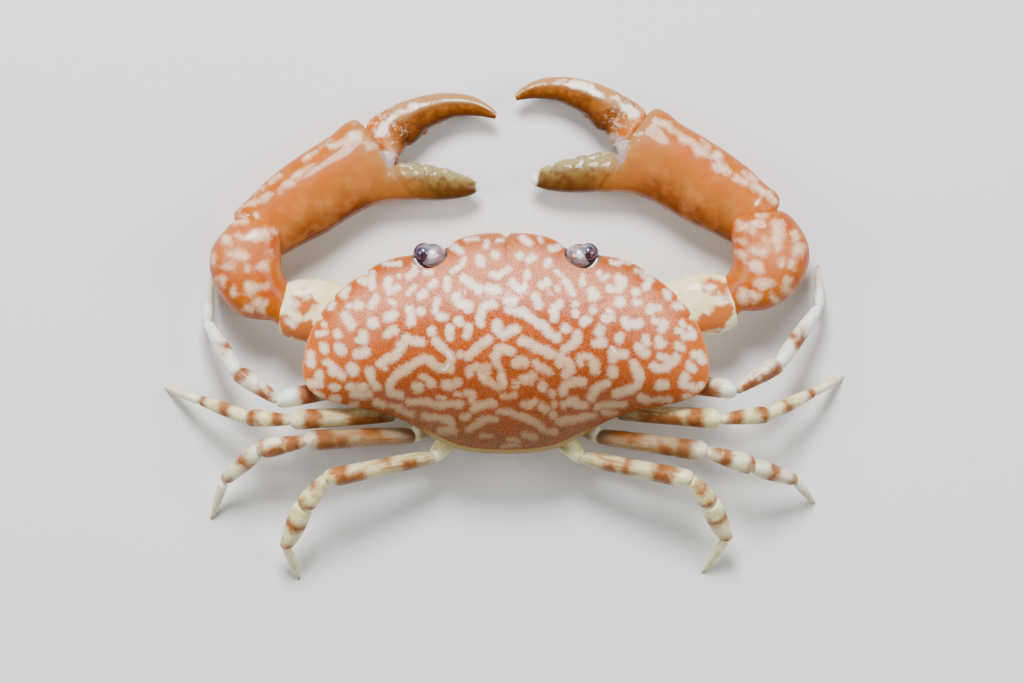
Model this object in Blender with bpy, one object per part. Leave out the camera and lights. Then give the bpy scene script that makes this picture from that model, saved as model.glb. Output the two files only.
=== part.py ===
"""Life-size still model of a Paratergatis crab, standing on its walking legs with both claws held in front.

All sizes are millimetres in the body frame: the midline is x = 0, the crab faces -Y, its left side is +X,
and the floor is z = 0. The crab's empty moves that frame so that the whole animal is centred on the origin.
"""

import math

import bmesh
import bpy
import numpy as np
from mathutils import Vector

MM = 0.001
GAP = 0.3
HALF_GAP = GAP / 2
CENTRING = (-0.19, 1.63, 0.0)

# Carapace: half of the margin seen from above, front to back, with the orbit bridged over
CARAPACE_HALF_WIDTH = 20.35
MARGIN = (
    (0.0, -11.2), (2.0, -11.2), (4.0, -10.85), (5.2, -10.35), (5.9, -9.75), (7.6, -9.3), (9.4, -9.0),
    (11.0, -8.75), (12.5, -8.25), (13.6, -7.65), (14.7, -6.9), (16.0, -5.95), (17.3, -4.75), (18.35, -3.4),
    (19.2, -2.0), (19.8, -0.6), (20.15, 0.7), (CARAPACE_HALF_WIDTH, 2.1), (20.25, 3.3), (19.75, 4.35),
    (18.9, 5.1), (17.5, 5.65), (16.0, 6.0), (14.2, 6.35), (12.4, 6.75), (10.7, 7.35), (9.2, 8.1),
    (7.6, 9.1), (5.9, 10.0), (4.4, 10.5), (2.5, 10.8), (0.0, 10.9),
)  # fmt: skip
FRONT_NOTCH = (0.0, 0.35, 0.45)  # place, depth and half width of the nick between the two frontal lobes
MARGIN_FISSURES = ((14.25, 0.5, 0.5), (17.4, 0.22, 0.4), (18.75, 0.5, 0.55))
NICK_CLEARANCE, NICK_SHARPNESS = 1.25, 1.6
MARGIN_POINTS = 44
CROWN = (0.0, -1.5, 15.2)
DOME_POWER = 2.3
DOME_HALF_LENGTHS = (10.5, 10.9)  # of the even oval near the crown: for its bearings, and for its reach
DOME_SHARES = (1.0, 0.955, 0.87, 0.75, 0.6, 0.42, 0.22)
OVAL_POWER, NICK_POWER = 3, 9  # how fast the oval gives way to the margin, and the nicks fade inward
MARGIN_HEIGHT_KEYS = ((-11.2, 7.6), (-9.0, 8.1), (-3.0, 8.7), (2.5, 8.8), (6.0, 8.3), (8.0, 7.8), (11.0, 7.3))
MARGIN_THICKNESS = 0.35
ROOF_LEVEL = 5.9
ROOF_SHARES = (0.3, 0.62, 0.88, 0.975)
ROOF_CURVE = 0.8

# Thorax: half of the wall that the legs grow from
WALL = (
    (0.0, -8.3), (2.6, -8.2), (5.2, -7.6), (7.4, -6.3), (9.0, -4.6), (9.8, -2.4), (10.1, 0.0), (10.1, 2.4),
    (9.6, 4.6), (8.6, 6.5), (7.2, 8.0), (5.3, 8.95), (2.8, 9.35), (0.0, 9.4),
)  # fmt: skip
WALL_POINTS = 26
STERNUM_MIDDLE = (0.0, 0.6)
STERNUM_LEVEL = 2.5
# Share of the way from the sternum's middle to the wall, height above the sternum
STERNUM_RINGS = ((0.2, 0.0), (0.38, 0.0), (0.62, -0.02), (0.8, 0.1), (0.93, 0.75), (0.99, 1.8), (1.0, 3.1))
# The groove that the abdomen lies in: depth, half width, width of its slope and where it ends in front
ABDOMEN_GROOVE, GROOVE_HALF_WIDTH, GROOVE_SLOPE, GROOVE_FRONT = 0.6, 3.4, 1.2, -2.4
GROOVE_SHARE = 0.9  # it doesn't reach the sternum's rings beyond this share

# Orbits and eyes
ORBIT = (7.65, -9.15, 9.7)
ORBIT_RADII = (1.85, 1.95, 3.3)
STALK_CENTRE = (7.35, -8.9, 9.1)
STALK_RADII = (1.45, 1.25, 1.55)
CORNEA_CENTRE = (8.25, -9.2, 9.45)
CORNEA_RADII = (1.02, 1.02, 1.25)
BALL_SIDES, BALL_RINGS = 14, 7

# Walking legs: the joints seen from above, and their heights
JOINTS = {
    "leg1_left": ((10.0, 2.6), (12.4, 3.6), (22.9, 5.4), (26.9, 2.7), (29.95, -2.3), (29.5, -6.9)),
    "leg2_left": ((9.2, 5.6), (11.3, 6.9), (21.6, 7.5), (25.9, 7.25), (30.7, 5.5), (34.3, 4.3)),
    "leg3_left": ((7.6, 7.9), (9.3, 9.0), (20.1, 9.6), (24.7, 10.5), (28.2, 13.6), (29.6, 17.6)),
    "leg4_left": ((5.0, 8.9), (7.4, 11.15), (18.0, 13.45), (20.2, 16.1), (22.0, 20.2), (20.7, 23.6)),
    "leg1_right": ((-10.0, 2.6), (-12.4, 3.4), (-23.0, 4.4), (-27.35, 1.85), (-31.3, -3.8), (-31.3, -8.1)),
    "leg2_right": ((-9.2, 5.6), (-11.3, 6.7), (-21.5, 7.4), (-26.3, 6.9), (-30.9, 4.7), (-33.9, 3.2)),
    "leg3_right": ((-7.6, 7.9), (-9.3, 9.1), (-20.1, 10.7), (-24.7, 12.1), (-29.0, 13.6), (-31.0, 15.95)),
    "leg4_right": ((-5.0, 8.9), (-7.6, 11.25), (-18.5, 13.5), (-20.4, 15.8), (-22.0, 19.4), (-19.6, 23.0)),
}
JOINT_HEIGHTS = {
    "leg1": (4.2, 4.7, 6.7, 5.6, 3.1, -0.25),
    "leg2": (4.1, 4.6, 7.3, 6.0, 3.2, -0.25),
    "leg3": (4.1, 4.5, 7.2, 6.0, 3.2, -0.25),
    "leg4": (4.3, 5.0, 7.4, 6.1, 3.2, -0.25),
}
# Half widths of merus, carpus, propodus and dactylus
LEG_WIDTHS = {
    "leg1": (0.98, 0.9, 0.78, 0.5),
    "leg2": (0.98, 0.86, 0.7, 0.46),
    "leg3": (1.0, 0.98, 0.86, 0.48),
    "leg4": (0.95, 1.0, 1.05, 0.48),
}
COXA_WIDTH = 0.92
# Each profile: place along the segment, share of its half width
LEG_PROFILES = {
    "coxa": ((0, 1.0), (0.45, 1.08), (0.8, 0.95), (1, 0.8)),
    "merus": (
        (0, 0.7), (0.05, 0.82), (0.2, 0.88), (0.45, 0.94), (0.7, 0.98), (0.86, 1.04), (0.95, 1.0), (1, 0.72),
    ),
    "carpus": ((0, 0.58), (0.06, 0.68), (0.3, 0.82), (0.6, 0.98), (0.84, 1.02), (0.95, 0.96), (1, 0.78)),
    "propodus": ((0, 0.8), (0.06, 0.96), (0.3, 1.02), (0.6, 0.95), (0.84, 0.78), (0.95, 0.72), (1, 0.58)),
    "dactylus": ((0, 0.84), (0.08, 1.04), (0.32, 0.98), (0.6, 0.78), (0.82, 0.52), (1, 0.3)),
}  # fmt: skip
LEG_HEIGHT_SHARES = (1.0, 1.12, 1.0, 0.9, 1.0)
LEG_CREST = 0.16  # how much a leg's upper edge rises above the rounded section
BEND_REACH = 0.3  # the share of a segment over which it turns into the joint's plane
COXA_ROOT = 0.4  # how far a leg's base reaches into the thorax
LEG_SIDES, LEG_ROUNDNESS = 10, 2.2

# Chelipeds, drawn for the left side in the body frame
CHELIPED_ARM = ((9.8, -3.2, 4.3), (12.3, -3.3, 4.5), (21.9, -3.9, 5.0))
ARM_COXA_PROFILE = ((0, 1.45, 1.35), (0.5, 1.55, 1.4), (1, 1.35, 1.25))
ARM_MERUS_PROFILE = (
    (0, 1.35, 1.3), (0.06, 1.75, 1.5), (0.3, 2.45, 1.8), (0.6, 3.15, 2.0), (0.85, 3.0, 2.05), (1, 2.35, 1.7),
)  # fmt: skip
ARM_COXA_ROOT = 0.6
ARM_AIM = 0.57  # where the arm ends on the wrist's first row, from its inner to its outer edge
ARM_OVERLAP = 0.2  # how far the arm runs on before the wrist's clearance cuts it
ARM_ROUNDNESS = 2.4
ARM_COXA_SIDES, ARM_SIDES = 12, 14
# Carpus: outer edge x, y, inner edge x, y and half thickness, from the arm to the palm
WRIST_LEVEL = 5.0
WRIST_SIDES, WRIST_ROUNDNESS = 18, 2.3
LEFT_WRIST = (
    (22.5, -1.6, 21.8, -6.1, 1.6), (23.3, -2.4, 22.05, -6.5, 1.9), (24.8, -2.55, 22.3, -7.0, 2.3),
    (26.1, -2.75, 22.45, -7.5, 2.6), (27.4, -3.55, 22.5, -8.0, 2.8), (28.5, -4.8, 22.5, -8.6, 2.9),
    (29.4, -6.5, 22.5, -9.2, 2.95), (29.7, -8.2, 22.5, -9.9, 2.95), (29.4, -9.8, 22.4, -10.7, 2.8),
    (28.5, -11.1, 22.4, -11.4, 2.5), (27.5, -12.2, 22.8, -12.05, 2.0), (26.5, -12.7, 23.9, -12.45, 1.1),
)  # fmt: skip
RIGHT_WRIST = (
    (-23.0, -2.5, -21.7, -6.7, 1.6), (-23.5, -3.35, -22.1, -7.05, 1.9), (-24.9, -3.4, -22.4, -7.4, 2.3),
    (-26.2, -3.6, -22.6, -7.8, 2.6), (-27.6, -4.3, -22.7, -8.3, 2.8), (-28.9, -5.4, -22.7, -8.9, 2.9),
    (-30.0, -7.0, -22.65, -9.6, 2.95), (-30.4, -8.9, -22.6, -10.3, 2.95), (-30.1, -10.6, -22.5, -11.2, 2.8),
    (-29.2, -12.1, -22.5, -12.1, 2.5), (-28.1, -13.2, -22.9, -12.9, 2.0), (-27.0, -13.55, -23.9, -13.35, 1.1),
)  # fmt: skip
# Palm with its fixed finger, in its own plane: place along it, lower edge, upper edge, half thickness
PALM_SIDES, PALM_ROUNDNESS = 14, 2.5
PALM = (
    (-1.9, -1.2, 2.2, 1.0), (-1.5, -2.2, 2.8, 1.4), (-0.8, -3.0, 3.1, 1.75), (0.3, -3.4, 3.2, 2.0),
    (2.3, -3.58, 3.66, 2.2), (5.2, -3.92, 3.96, 2.35), (8.2, -3.98, 4.02, 2.35), (10.8, -4.26, 3.97, 2.3),
    (12.4, -4.9, 4.18, 2.1), (13.5, -5.6, 4.05, 1.95), (14.05, -5.9, 3.35, 1.75), (14.3, -6.05, 1.2, 1.6),
    (14.5, -6.15, -1.6, 1.5),
)  # fmt: skip
FIXED_FINGER_LENGTH = 6.05
# Share of its length, lower edge, upper edge, half thickness
FIXED_FINGER = (
    (0.0, -6.2, -1.9, 1.45), (0.3, -7.45, -3.12, 1.3), (0.6, -8.4, -4.8, 1.1), (0.82, -8.82, -6.32, 0.8),
    (0.95, -8.75, -7.5, 0.45), (1.0, -8.5, -8.15, 0.2),
)  # fmt: skip
FIXED_TEETH = 5
ROWS_PER_FIXED_TOOTH = 4
TOOTH_HEIGHT = 0.28
# Movable finger in the palm's plane: outer edge, inner edge, half thickness
FINGER = (
    (14.62, 3.0, 14.8, -1.85, 1.15), (15.2, 3.2, 15.4, -1.45, 1.35), (16.24, 3.16, 16.1, -1.0, 1.45),
    (17.35, 3.05, 17.0, -1.0, 1.42), (18.46, 2.89, 17.95, -1.0, 1.4), (20.46, 2.29, 19.9, -0.8, 1.25),
    (22.3, 1.43, 21.5, -1.1, 1.05), (23.9, 0.25, 22.9, -1.8, 0.85), (24.94, -0.92, 24.1, -2.6, 0.65),
    (25.58, -2.3, 24.85, -3.3, 0.45), (25.78, -3.27, 25.25, -3.7, 0.22),
)  # fmt: skip
FINGER_SIDES = 12
FINGER_PIVOT = np.array([14.2, 0.0])
FINGER_TEETH = 4
FINGER_TEETH_REACH = 0.68  # share of the finger that carries them
FINGER_TEETH_START = 0.2
FINGER_TOOTH_HEIGHT = 0.36
ROWS_PER_FINGER_TOOTH = 6
# The crab's claws aren't alike. For each: wrist joint, heading from the midline and extra opening of the
# finger in degrees, stretch of the finger and of the fixed finger, and how far the palm's lower and upper
# edges move
CHELAE = {
    "left": ((24.4, -11.7), 33.5, 0.0, 1.015, 1.0, (0.0, 0.0)),
    "right": ((-24.67, -13.23), 31.5, 5.0, 1.04, 1.05, (-0.22, -0.08)),
}
CHELA_HEIGHTS = (4.4, 2.3)  # centre of the palm at the wrist, and at the finger tips
CHELA_LENGTH = 25.0

# Underside
ABDOMEN_PATH = (
    (10.05, 5.2, 3.3), (10.15, 4.6, 3.4), (9.75, 3.6, 3.25), (8.8, 2.7, 2.85), (7.2, 2.35, 2.4),
    (5.2, 2.3, 1.95), (3.0, 2.3, 1.6), (1.0, 2.3, 1.3), (-0.6, 2.3, 0.9), (-1.5, 2.35, 0.35),
)  # fmt: skip
ABDOMEN_THICKNESS = 0.38
MAXILLIPED = (1.75, -8.05, 4.0)
MAXILLIPED_SIZE = (1.6, 2.1, 0.45)
MAXILLIPED_TILT = math.radians(-58)
# Place along the plate, share of its size; it has a cross seam in the middle
MAXILLIPED_PROFILE = (
    (-1, 0.62), (-0.88, 0.86), (-0.5, 1.0), (-0.05, 1.0), (0.0, 0.93), (0.05, 1.0), (0.55, 0.95), (0.88, 0.8),
    (1, 0.55),
)  # fmt: skip
MAXILLIPED_SIDES, MAXILLIPED_ROUNDNESS = 12, 3.2
ABDOMEN_ACROSS = (-1.0, -0.85, -0.45, 0.0, 0.45, 0.85, 1.0)
ABDOMEN_EDGE_THINNING = 0.75
ANTENNA = ((4.4, -8.6, 7.0, 0.42), (5.2, -9.0, 6.55, 0.34), (6.5, -8.9, 6.5, 0.26), (8.0, -8.3, 6.55, 0.18),
           (9.3, -7.7, 6.55, 0.11))  # fmt: skip
ANTENNA_ROWS, ANTENNA_SIDES = 9, 8

# Colour and roughness of each kind of piece
CARAPACE_LOOK = ((0.76, 0.30, 0.12, 1), 0.35)
THORAX_LOOK = ((0.84, 0.72, 0.55, 1), 0.5)
ABDOMEN_LOOK = ((0.80, 0.66, 0.48, 1), 0.5)
MOUTH_LOOK = ((0.82, 0.63, 0.44, 1), 0.45)
ANTENNA_LOOK = ((0.72, 0.36, 0.18, 1), 0.45)
EYE_LOOK = ((0.12, 0.09, 0.17, 1), 0.12)
ARM_COXA_LOOK = ((0.86, 0.77, 0.60, 1), 0.45)
ARM_MERUS_LOOK = ((0.88, 0.74, 0.50, 1), 0.4)
WRIST_LOOK = ((0.80, 0.38, 0.20, 1), 0.28)
PALM_LOOK = ((0.79, 0.37, 0.15, 1), 0.25)
FINGER_LOOK = ((0.55, 0.29, 0.12, 1), 0.25)
LEG_LOOKS = {
    "coxa": ((0.85, 0.78, 0.60, 1), 0.45),
    "merus": ((0.83, 0.62, 0.40, 1), 0.4),
    "carpus": ((0.84, 0.64, 0.46, 1), 0.4),
    "propodus": ((0.86, 0.76, 0.62, 1), 0.4),
    "dactylus": ((0.72, 0.70, 0.58, 1), 0.35),
}


def clear_scene():
    for obj in list(bpy.data.objects):
        bpy.data.objects.remove(obj)


def paint(name, look):
    colour, roughness = look
    material = bpy.data.materials.new(name)
    material.use_nodes = True
    shader = material.node_tree.nodes["Principled BSDF"]
    shader.inputs["Base Color"].default_value = colour
    shader.inputs["Roughness"].default_value = roughness
    shader.inputs["Metallic"].default_value = 0.0
    return material


def spline(keys, places):
    """Points on the smooth curve through the keys; place 0 is the first key and place 1 the second."""
    keys = np.asarray(keys, float)
    last = len(keys) - 1
    places = np.clip(np.asarray(places, float), 0, last)
    index = np.minimum(places.astype(int), last - 1)
    t = (places - index)[:, None]
    before, here = keys[np.maximum(index - 1, 0)], keys[index]
    there, after = keys[index + 1], keys[np.minimum(index + 2, last)]
    return 0.5 * (
        2 * here + (there - before) * t + (2 * before - 5 * here + 4 * there - after) * t**2
        + (3 * here - before - 3 * there + after) * t**3
    )  # fmt: skip


def section(sides, power):
    """Unit points of a rounded cross-section, anticlockwise from the side."""
    angles = np.arange(sides) * 2 * math.pi / sides
    cos, sin = np.cos(angles), np.sin(angles)
    return np.sign(cos) * abs(cos) ** (2 / power), np.sign(sin) * abs(sin) ** (2 / power)


def tube_mesh(name, rings, start=None, end=None):
    """A closed skin over rings of equal size, with a fan of faces over each end."""
    made = bmesh.new()
    rows = [[made.verts.new(Vector(point) * MM) for point in ring] for ring in rings]
    count = len(rows[0])
    for low, high in zip(rows, rows[1:]):
        for j in range(count):
            k = (j + 1) % count
            made.faces.new((low[j], low[k], high[k], high[j]))
    first = made.verts.new(Vector(np.mean(rings[0], axis=0) if start is None else start) * MM)
    last = made.verts.new(Vector(np.mean(rings[-1], axis=0) if end is None else end) * MM)
    for j in range(count):
        k = (j + 1) % count
        made.faces.new((first, rows[0][k], rows[0][j]))
        made.faces.new((last, rows[-1][j], rows[-1][k]))
    mesh = bpy.data.meshes.new(name)
    made.to_mesh(mesh)
    made.free()
    mesh.shade_smooth()
    mesh.set_sharp_from_angle(angle=math.radians(50))
    return mesh


def place(name, mesh, look, crab):
    mesh.materials.append(paint(name, look))
    obj = bpy.data.objects.new(name, mesh)
    bpy.context.scene.collection.objects.link(obj)
    obj.parent = crab
    return obj


def helper(name, mesh, crab):
    """A cutter: the build and a render leave it out."""
    obj = bpy.data.objects.new(name, mesh)
    bpy.context.scene.collection.objects.link(obj)
    obj.parent = crab
    obj.hide_render = True
    obj.display_type = "WIRE"
    return obj


def outward(mesh):
    """The mesh with all its faces turned outward."""
    made = bmesh.new()
    made.from_mesh(mesh)
    bmesh.ops.recalc_face_normals(made, faces=made.faces[:])
    made.to_mesh(mesh)
    made.free()
    return mesh


def cut(obj, cutter):
    boolean = obj.modifiers.new("cut by " + cutter.name, "BOOLEAN")
    boolean.operation = "DIFFERENCE"
    boolean.solver = "EXACT"
    boolean.object = cutter


def grown(obj, crab):
    """A cutter one gap larger than obj, for pieces that meet it."""
    bpy.context.view_layer.update()
    mesh = bpy.data.meshes.new_from_object(obj.evaluated_get(bpy.context.evaluated_depsgraph_get()))
    normals = [vertex.normal.copy() for vertex in mesh.vertices]
    for vertex, normal in zip(mesh.vertices, normals):
        vertex.co += normal * GAP * MM
    return helper(obj.name + "_clearance", mesh, crab)


def ellipsoid(name, centre, radii):
    x, y, z = centre
    across, back = section(BALL_SIDES, 2)
    rows = []
    for tilt in np.linspace(-math.pi / 2, math.pi / 2, BALL_RINGS + 2)[1:-1]:
        wide = math.cos(tilt)
        level = np.full(BALL_SIDES, z + radii[2] * math.sin(tilt))
        rows.append(np.column_stack([x + radii[0] * wide * across, y + radii[1] * wide * back, level]))
    return tube_mesh(name, rows, (x, y, z - radii[2]), (x, y, z + radii[2]))


def flattened(mesh):
    """The mesh cut off at the floor, which leaves a small flat to stand on."""
    made = bmesh.new()
    made.from_mesh(mesh)
    parts = made.verts[:] + made.edges[:] + made.faces[:]
    cut_edges = bmesh.ops.bisect_plane(
        made, geom=parts, dist=1e-7, plane_co=(0, 0, 0), plane_no=(0, 0, 1), clear_inner=True
    )["geom_cut"]
    bmesh.ops.edgeloop_fill(made, edges=[part for part in cut_edges if isinstance(part, bmesh.types.BMEdge)])
    made.to_mesh(mesh)
    made.free()
    return outward(mesh)


# Body


def margin_loop(count):
    """The whole carapace margin, anticlockwise from above, with its notches: points and heights."""
    half = spline(MARGIN, np.linspace(0, len(MARGIN) - 1, count))
    steps = np.concatenate([[0], np.cumsum(np.linalg.norm(np.diff(half, axis=0), axis=1))])
    widest = int(np.argmax(half[:, 0]))
    marks = [FRONT_NOTCH, *MARGIN_FISSURES]
    wanted = list(steps)
    for x, _, width in marks:
        at = float(np.interp(x, half[:widest, 0], steps[:widest]))
        wanted = [s for s in wanted if abs(s - at) > width * NICK_CLEARANCE or s == 0.0]
        wanted += [s for s in (at - width, at, at + width) if s >= 0]
    wanted = np.unique(np.round(wanted, 6))
    half = np.stack([np.interp(wanted, steps, half[:, 0]), np.interp(wanted, steps, half[:, 1])], axis=1)
    inward = -half / np.linalg.norm(half, axis=1, keepdims=True)
    nicks = np.zeros((len(half), 2))
    for x, depth, width in marks:
        at = wanted[np.argmin(abs(half[:, 0] - x) + 10 * (half[:, 1] > 2))]
        nicks += inward * (depth * np.exp(-(((wanted - at) / width) ** 2) * NICK_SHARPNESS))[:, None]
    heights = np.interp(half[:, 1], *zip(*MARGIN_HEIGHT_KEYS))
    mirror = np.array([-1.0, 1.0])
    loop = np.concatenate([half, (half * mirror)[::-1][1:-1]])
    nicks = np.concatenate([nicks, (nicks * mirror)[::-1][1:-1]])
    return loop, nicks, np.concatenate([heights, heights[::-1][1:-1]])


def wall_loop(toward):
    """The thorax wall, sampled in the same directions from the crown as the given margin points."""
    half = spline(WALL, np.linspace(0, len(WALL) - 1, 90))
    whole = np.concatenate([half, (half * np.array([-1.0, 1.0]))[::-1][1:-1]])
    middle = np.array(CROWN[:2])
    bearings = np.arctan2(*(whole - middle).T)
    order = np.argsort(bearings)
    reach = np.linalg.norm(whole - middle, axis=1)[order]
    aim = toward - middle
    reach = np.interp(np.arctan2(*aim.T), bearings[order], reach, period=2 * math.pi)
    return middle + aim / np.linalg.norm(aim, axis=1, keepdims=True) * reach[:, None]


def dome_point(outline, nicks, heights, share):
    """One ring of the carapace's top, at this share of the way from the crown to the margin."""
    middle = np.array(CROWN[:2])
    arms = outline - middle
    aimed, reached = DOME_HALF_LENGTHS
    bearings = np.arctan2(arms[:, 1] / aimed, arms[:, 0] / CARAPACE_HALF_WIDTH)
    oval = np.column_stack([CARAPACE_HALF_WIDTH * np.cos(bearings), reached * np.sin(bearings)])
    blend = share**OVAL_POWER
    flat = middle + share * (oval * (1 - blend) + arms * blend) + nicks * share**NICK_POWER
    rise = (CROWN[2] - heights) * (1 - share**DOME_POWER)
    return np.column_stack([flat, heights + rise])


def carapace_mesh():
    outline, nicks, heights = margin_loop(MARGIN_POINTS)
    wall = wall_loop(outline)
    rings = [np.column_stack([wall, np.full(len(wall), ROOF_LEVEL)])]
    for out in ROOF_SHARES:
        flat = wall * (1 - out) + (outline + nicks * out**NICK_POWER) * out
        rise = (heights - MARGIN_THICKNESS - ROOF_LEVEL) * out**ROOF_CURVE
        rings.append(np.column_stack([flat, ROOF_LEVEL + rise]))
    for share in DOME_SHARES:
        rings.append(dome_point(outline, nicks, heights, share))
    return tube_mesh("carapace", rings, end=CROWN)


def thorax_mesh():
    outline, _, _ = margin_loop(WALL_POINTS)
    wall = wall_loop(outline)
    middle = np.array(STERNUM_MIDDLE)
    rings = []
    for share, level in STERNUM_RINGS:
        flat = middle + (wall - middle) * share
        inside = np.clip((GROOVE_HALF_WIDTH - abs(flat[:, 0])) / GROOVE_SLOPE, 0, 1)
        inside = inside * (flat[:, 1] > GROOVE_FRONT) * (share < GROOVE_SHARE)
        rings.append(np.column_stack([flat, STERNUM_LEVEL + level + ABDOMEN_GROOVE * inside]))
    return tube_mesh("thorax", rings, start=(*middle, STERNUM_LEVEL + ABDOMEN_GROOVE))


def add_body(crab):
    carapace = place("carapace", carapace_mesh(), CARAPACE_LOOK, crab)
    for side in (1, -1):
        x, y, z = ORBIT
        orbit = ellipsoid("orbit", (x * side, y, z), ORBIT_RADII)
        cut(carapace, helper("orbit_cutter", orbit, crab))
    thorax = place("thorax", thorax_mesh(), THORAX_LOOK, crab)
    return carapace, thorax


def add_abdomen(crab, rooms):
    across = np.array(ABDOMEN_ACROSS)
    rings = []
    path = np.asarray(ABDOMEN_PATH)
    for i, (y, z, half) in enumerate(path):
        along = path[min(i + 1, len(path) - 1), :2] - path[max(i - 1, 0), :2]
        along /= np.linalg.norm(along)
        out = np.array([-along[1], along[0]])
        bulge = ABDOMEN_THICKNESS * (1 - across**4 * ABDOMEN_EDGE_THINNING)
        outer = [(x * half, y + out[0] * b, z + out[1] * b) for x, b in zip(across, bulge)]
        inner = [(x * half, y - out[0] * b, z - out[1] * b) for x, b in zip(across[::-1], bulge[::-1])]
        rings.append(outer + inner)
    abdomen = place("abdomen", outward(tube_mesh("abdomen", rings)), ABDOMEN_LOOK, crab)
    for room in rooms:
        cut(abdomen, room)


def add_mouth(crab, rooms):
    half_width, half_length, half_thick = MAXILLIPED_SIZE
    run = np.array([0.0, math.cos(MAXILLIPED_TILT), math.sin(MAXILLIPED_TILT)])
    top = np.array([0.0, -math.sin(MAXILLIPED_TILT), math.cos(MAXILLIPED_TILT)])
    wide = np.array([1.0, 0.0, 0.0])
    across, up = section(MAXILLIPED_SIDES, MAXILLIPED_ROUNDNESS)
    for name, side in (("left", 1), ("right", -1)):
        middle = np.array(MAXILLIPED) * np.array([side, 1, 1])
        rings = [
            middle + run * along * half_length
            + share * (across[:, None] * half_width * wide + up[:, None] * half_thick * top)
            for along, share in MAXILLIPED_PROFILE
        ]  # fmt: skip
        mesh = outward(tube_mesh("maxilliped_" + name, rings))
        plate = place("maxilliped_" + name, mesh, MOUTH_LOOK, crab)
        for room in rooms:
            cut(plate, room)


def limb_frames(points):
    """Unit direction, side and top at each point of a centre line."""
    points = np.asarray(points, float)
    along = np.gradient(points, axis=0)
    along /= np.linalg.norm(along, axis=1, keepdims=True)
    side = np.cross((0, 0, 1.0), along)
    side /= np.linalg.norm(side, axis=1, keepdims=True)
    return along, side, np.cross(along, side)


def add_antennae(crab, carapace_room):
    for name, mirror in (("left", 1), ("right", -1)):
        keys = np.asarray(ANTENNA) * np.array([mirror, 1, 1, 1])
        line = spline(keys, np.linspace(0, len(keys) - 1, ANTENNA_ROWS))
        _, side, top = limb_frames(line[:, :3])
        across, up = section(ANTENNA_SIDES, 2)
        rings = [
            p[:3] + p[3] * (across[:, None] * s + up[:, None] * t)
            for p, s, t in zip(line, side, top)
        ]  # fmt: skip
        antenna = place("antenna_" + name, tube_mesh("antenna_" + name, rings), ANTENNA_LOOK, crab)
        cut(antenna, carapace_room)


def add_eyes(crab, carapace_room):
    for name, side in (("left", 1), ("right", -1)):
        pieces = bpy.data.collections.new("eye pieces " + name)
        mirror = np.array([side, 1, 1])
        stalk = ellipsoid("eye_" + name, np.array(STALK_CENTRE) * mirror, STALK_RADII)
        cornea = ellipsoid("cornea", np.array(CORNEA_CENTRE) * mirror, CORNEA_RADII)
        eye = place("eye_" + name, stalk, EYE_LOOK, crab)
        ball = helper("cornea_piece", cornea, crab)
        pieces.objects.link(ball)
        join = eye.modifiers.new("join", "BOOLEAN")
        join.operation = "UNION"
        join.solver = "EXACT"
        join.operand_type = "COLLECTION"
        join.collection = pieces
        cut(eye, carapace_room)


# Limbs


def segment_rings(start, end, start_plane, end_plane, profile, half, height_share):
    """Rings of one leg segment; its ends lie in the planes it shares with its neighbours."""
    run = end - start
    heading = run / np.linalg.norm(run)
    across, up = section(LEG_SIDES, LEG_ROUNDNESS)
    up = up * (1 + LEG_CREST * np.clip(up, 0, 1) ** 6)
    rings = []
    for at, share in profile:
        near_start = max(0.0, 1 - at / BEND_REACH)
        near_end = max(0.0, 1 - (1 - at) / BEND_REACH)
        facing = heading * (1 - near_start) * (1 - near_end) + start_plane * near_start + end_plane * near_end
        facing /= np.linalg.norm(facing)
        side = np.cross((0, 0, 1.0), facing)
        side /= np.linalg.norm(side)
        top = np.cross(facing, side)
        width = half * share
        rings.append(start + run * at + width * (across[:, None] * side + up[:, None] * height_share * top))
    return rings


def joint_planes(joints):
    """The facing direction of each joint: halfway between the segments that meet there."""
    runs = np.diff(np.asarray(joints, float), axis=0)
    runs /= np.linalg.norm(runs, axis=1, keepdims=True)
    planes = [runs[0]]
    for before, after in zip(runs, runs[1:]):
        planes.append((before + after) / np.linalg.norm(before + after))
    return [*planes, runs[-1]]


def add_leg(name, crab, rooms):
    row = name.split("_")[0]
    joints = [np.array([*flat, z]) for flat, z in zip(JOINTS[name], JOINT_HEIGHTS[row])]
    planes = joint_planes(joints)
    halves = (COXA_WIDTH, *LEG_WIDTHS[row])
    for i, (part, profile) in enumerate(LEG_PROFILES.items()):
        start = joints[i] + planes[i] * (HALF_GAP if i else -COXA_ROOT)
        end = joints[i + 1] - planes[i + 1] * (0 if part == "dactylus" else HALF_GAP)
        rings = segment_rings(start, end, planes[i], planes[i + 1], profile, halves[i], LEG_HEIGHT_SHARES[i])
        mesh = tube_mesh(f"{name}_{part}", rings)
        if part == "dactylus":
            flattened(mesh)
        piece = place(f"{name}_{part}", mesh, LEG_LOOKS[part], crab)
        if part == "coxa":
            for room in rooms:
                cut(piece, room)


def arm_rings(start, end, profile, sides):
    start, end = np.asarray(start, float), np.asarray(end, float)
    _, side, top = limb_frames([start, end])
    across, up = section(sides, ARM_ROUNDNESS)
    return [
        start + (end - start) * at + across[:, None] * side[0] * wide + up[:, None] * top[0] * thick
        for at, wide, thick in profile
    ]


def wrist_ring(row):
    """One ring of the carpus, from its outer and inner edges seen from above."""
    outer, inner = np.array([*row[:2], WRIST_LEVEL]), np.array([*row[2:4], WRIST_LEVEL])
    across, up = section(WRIST_SIDES, WRIST_ROUNDNESS)
    return (outer + inner) / 2 + across[:, None] * (outer - inner) / 2 + up[:, None] * np.array([0, 0, row[4]])


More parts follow.
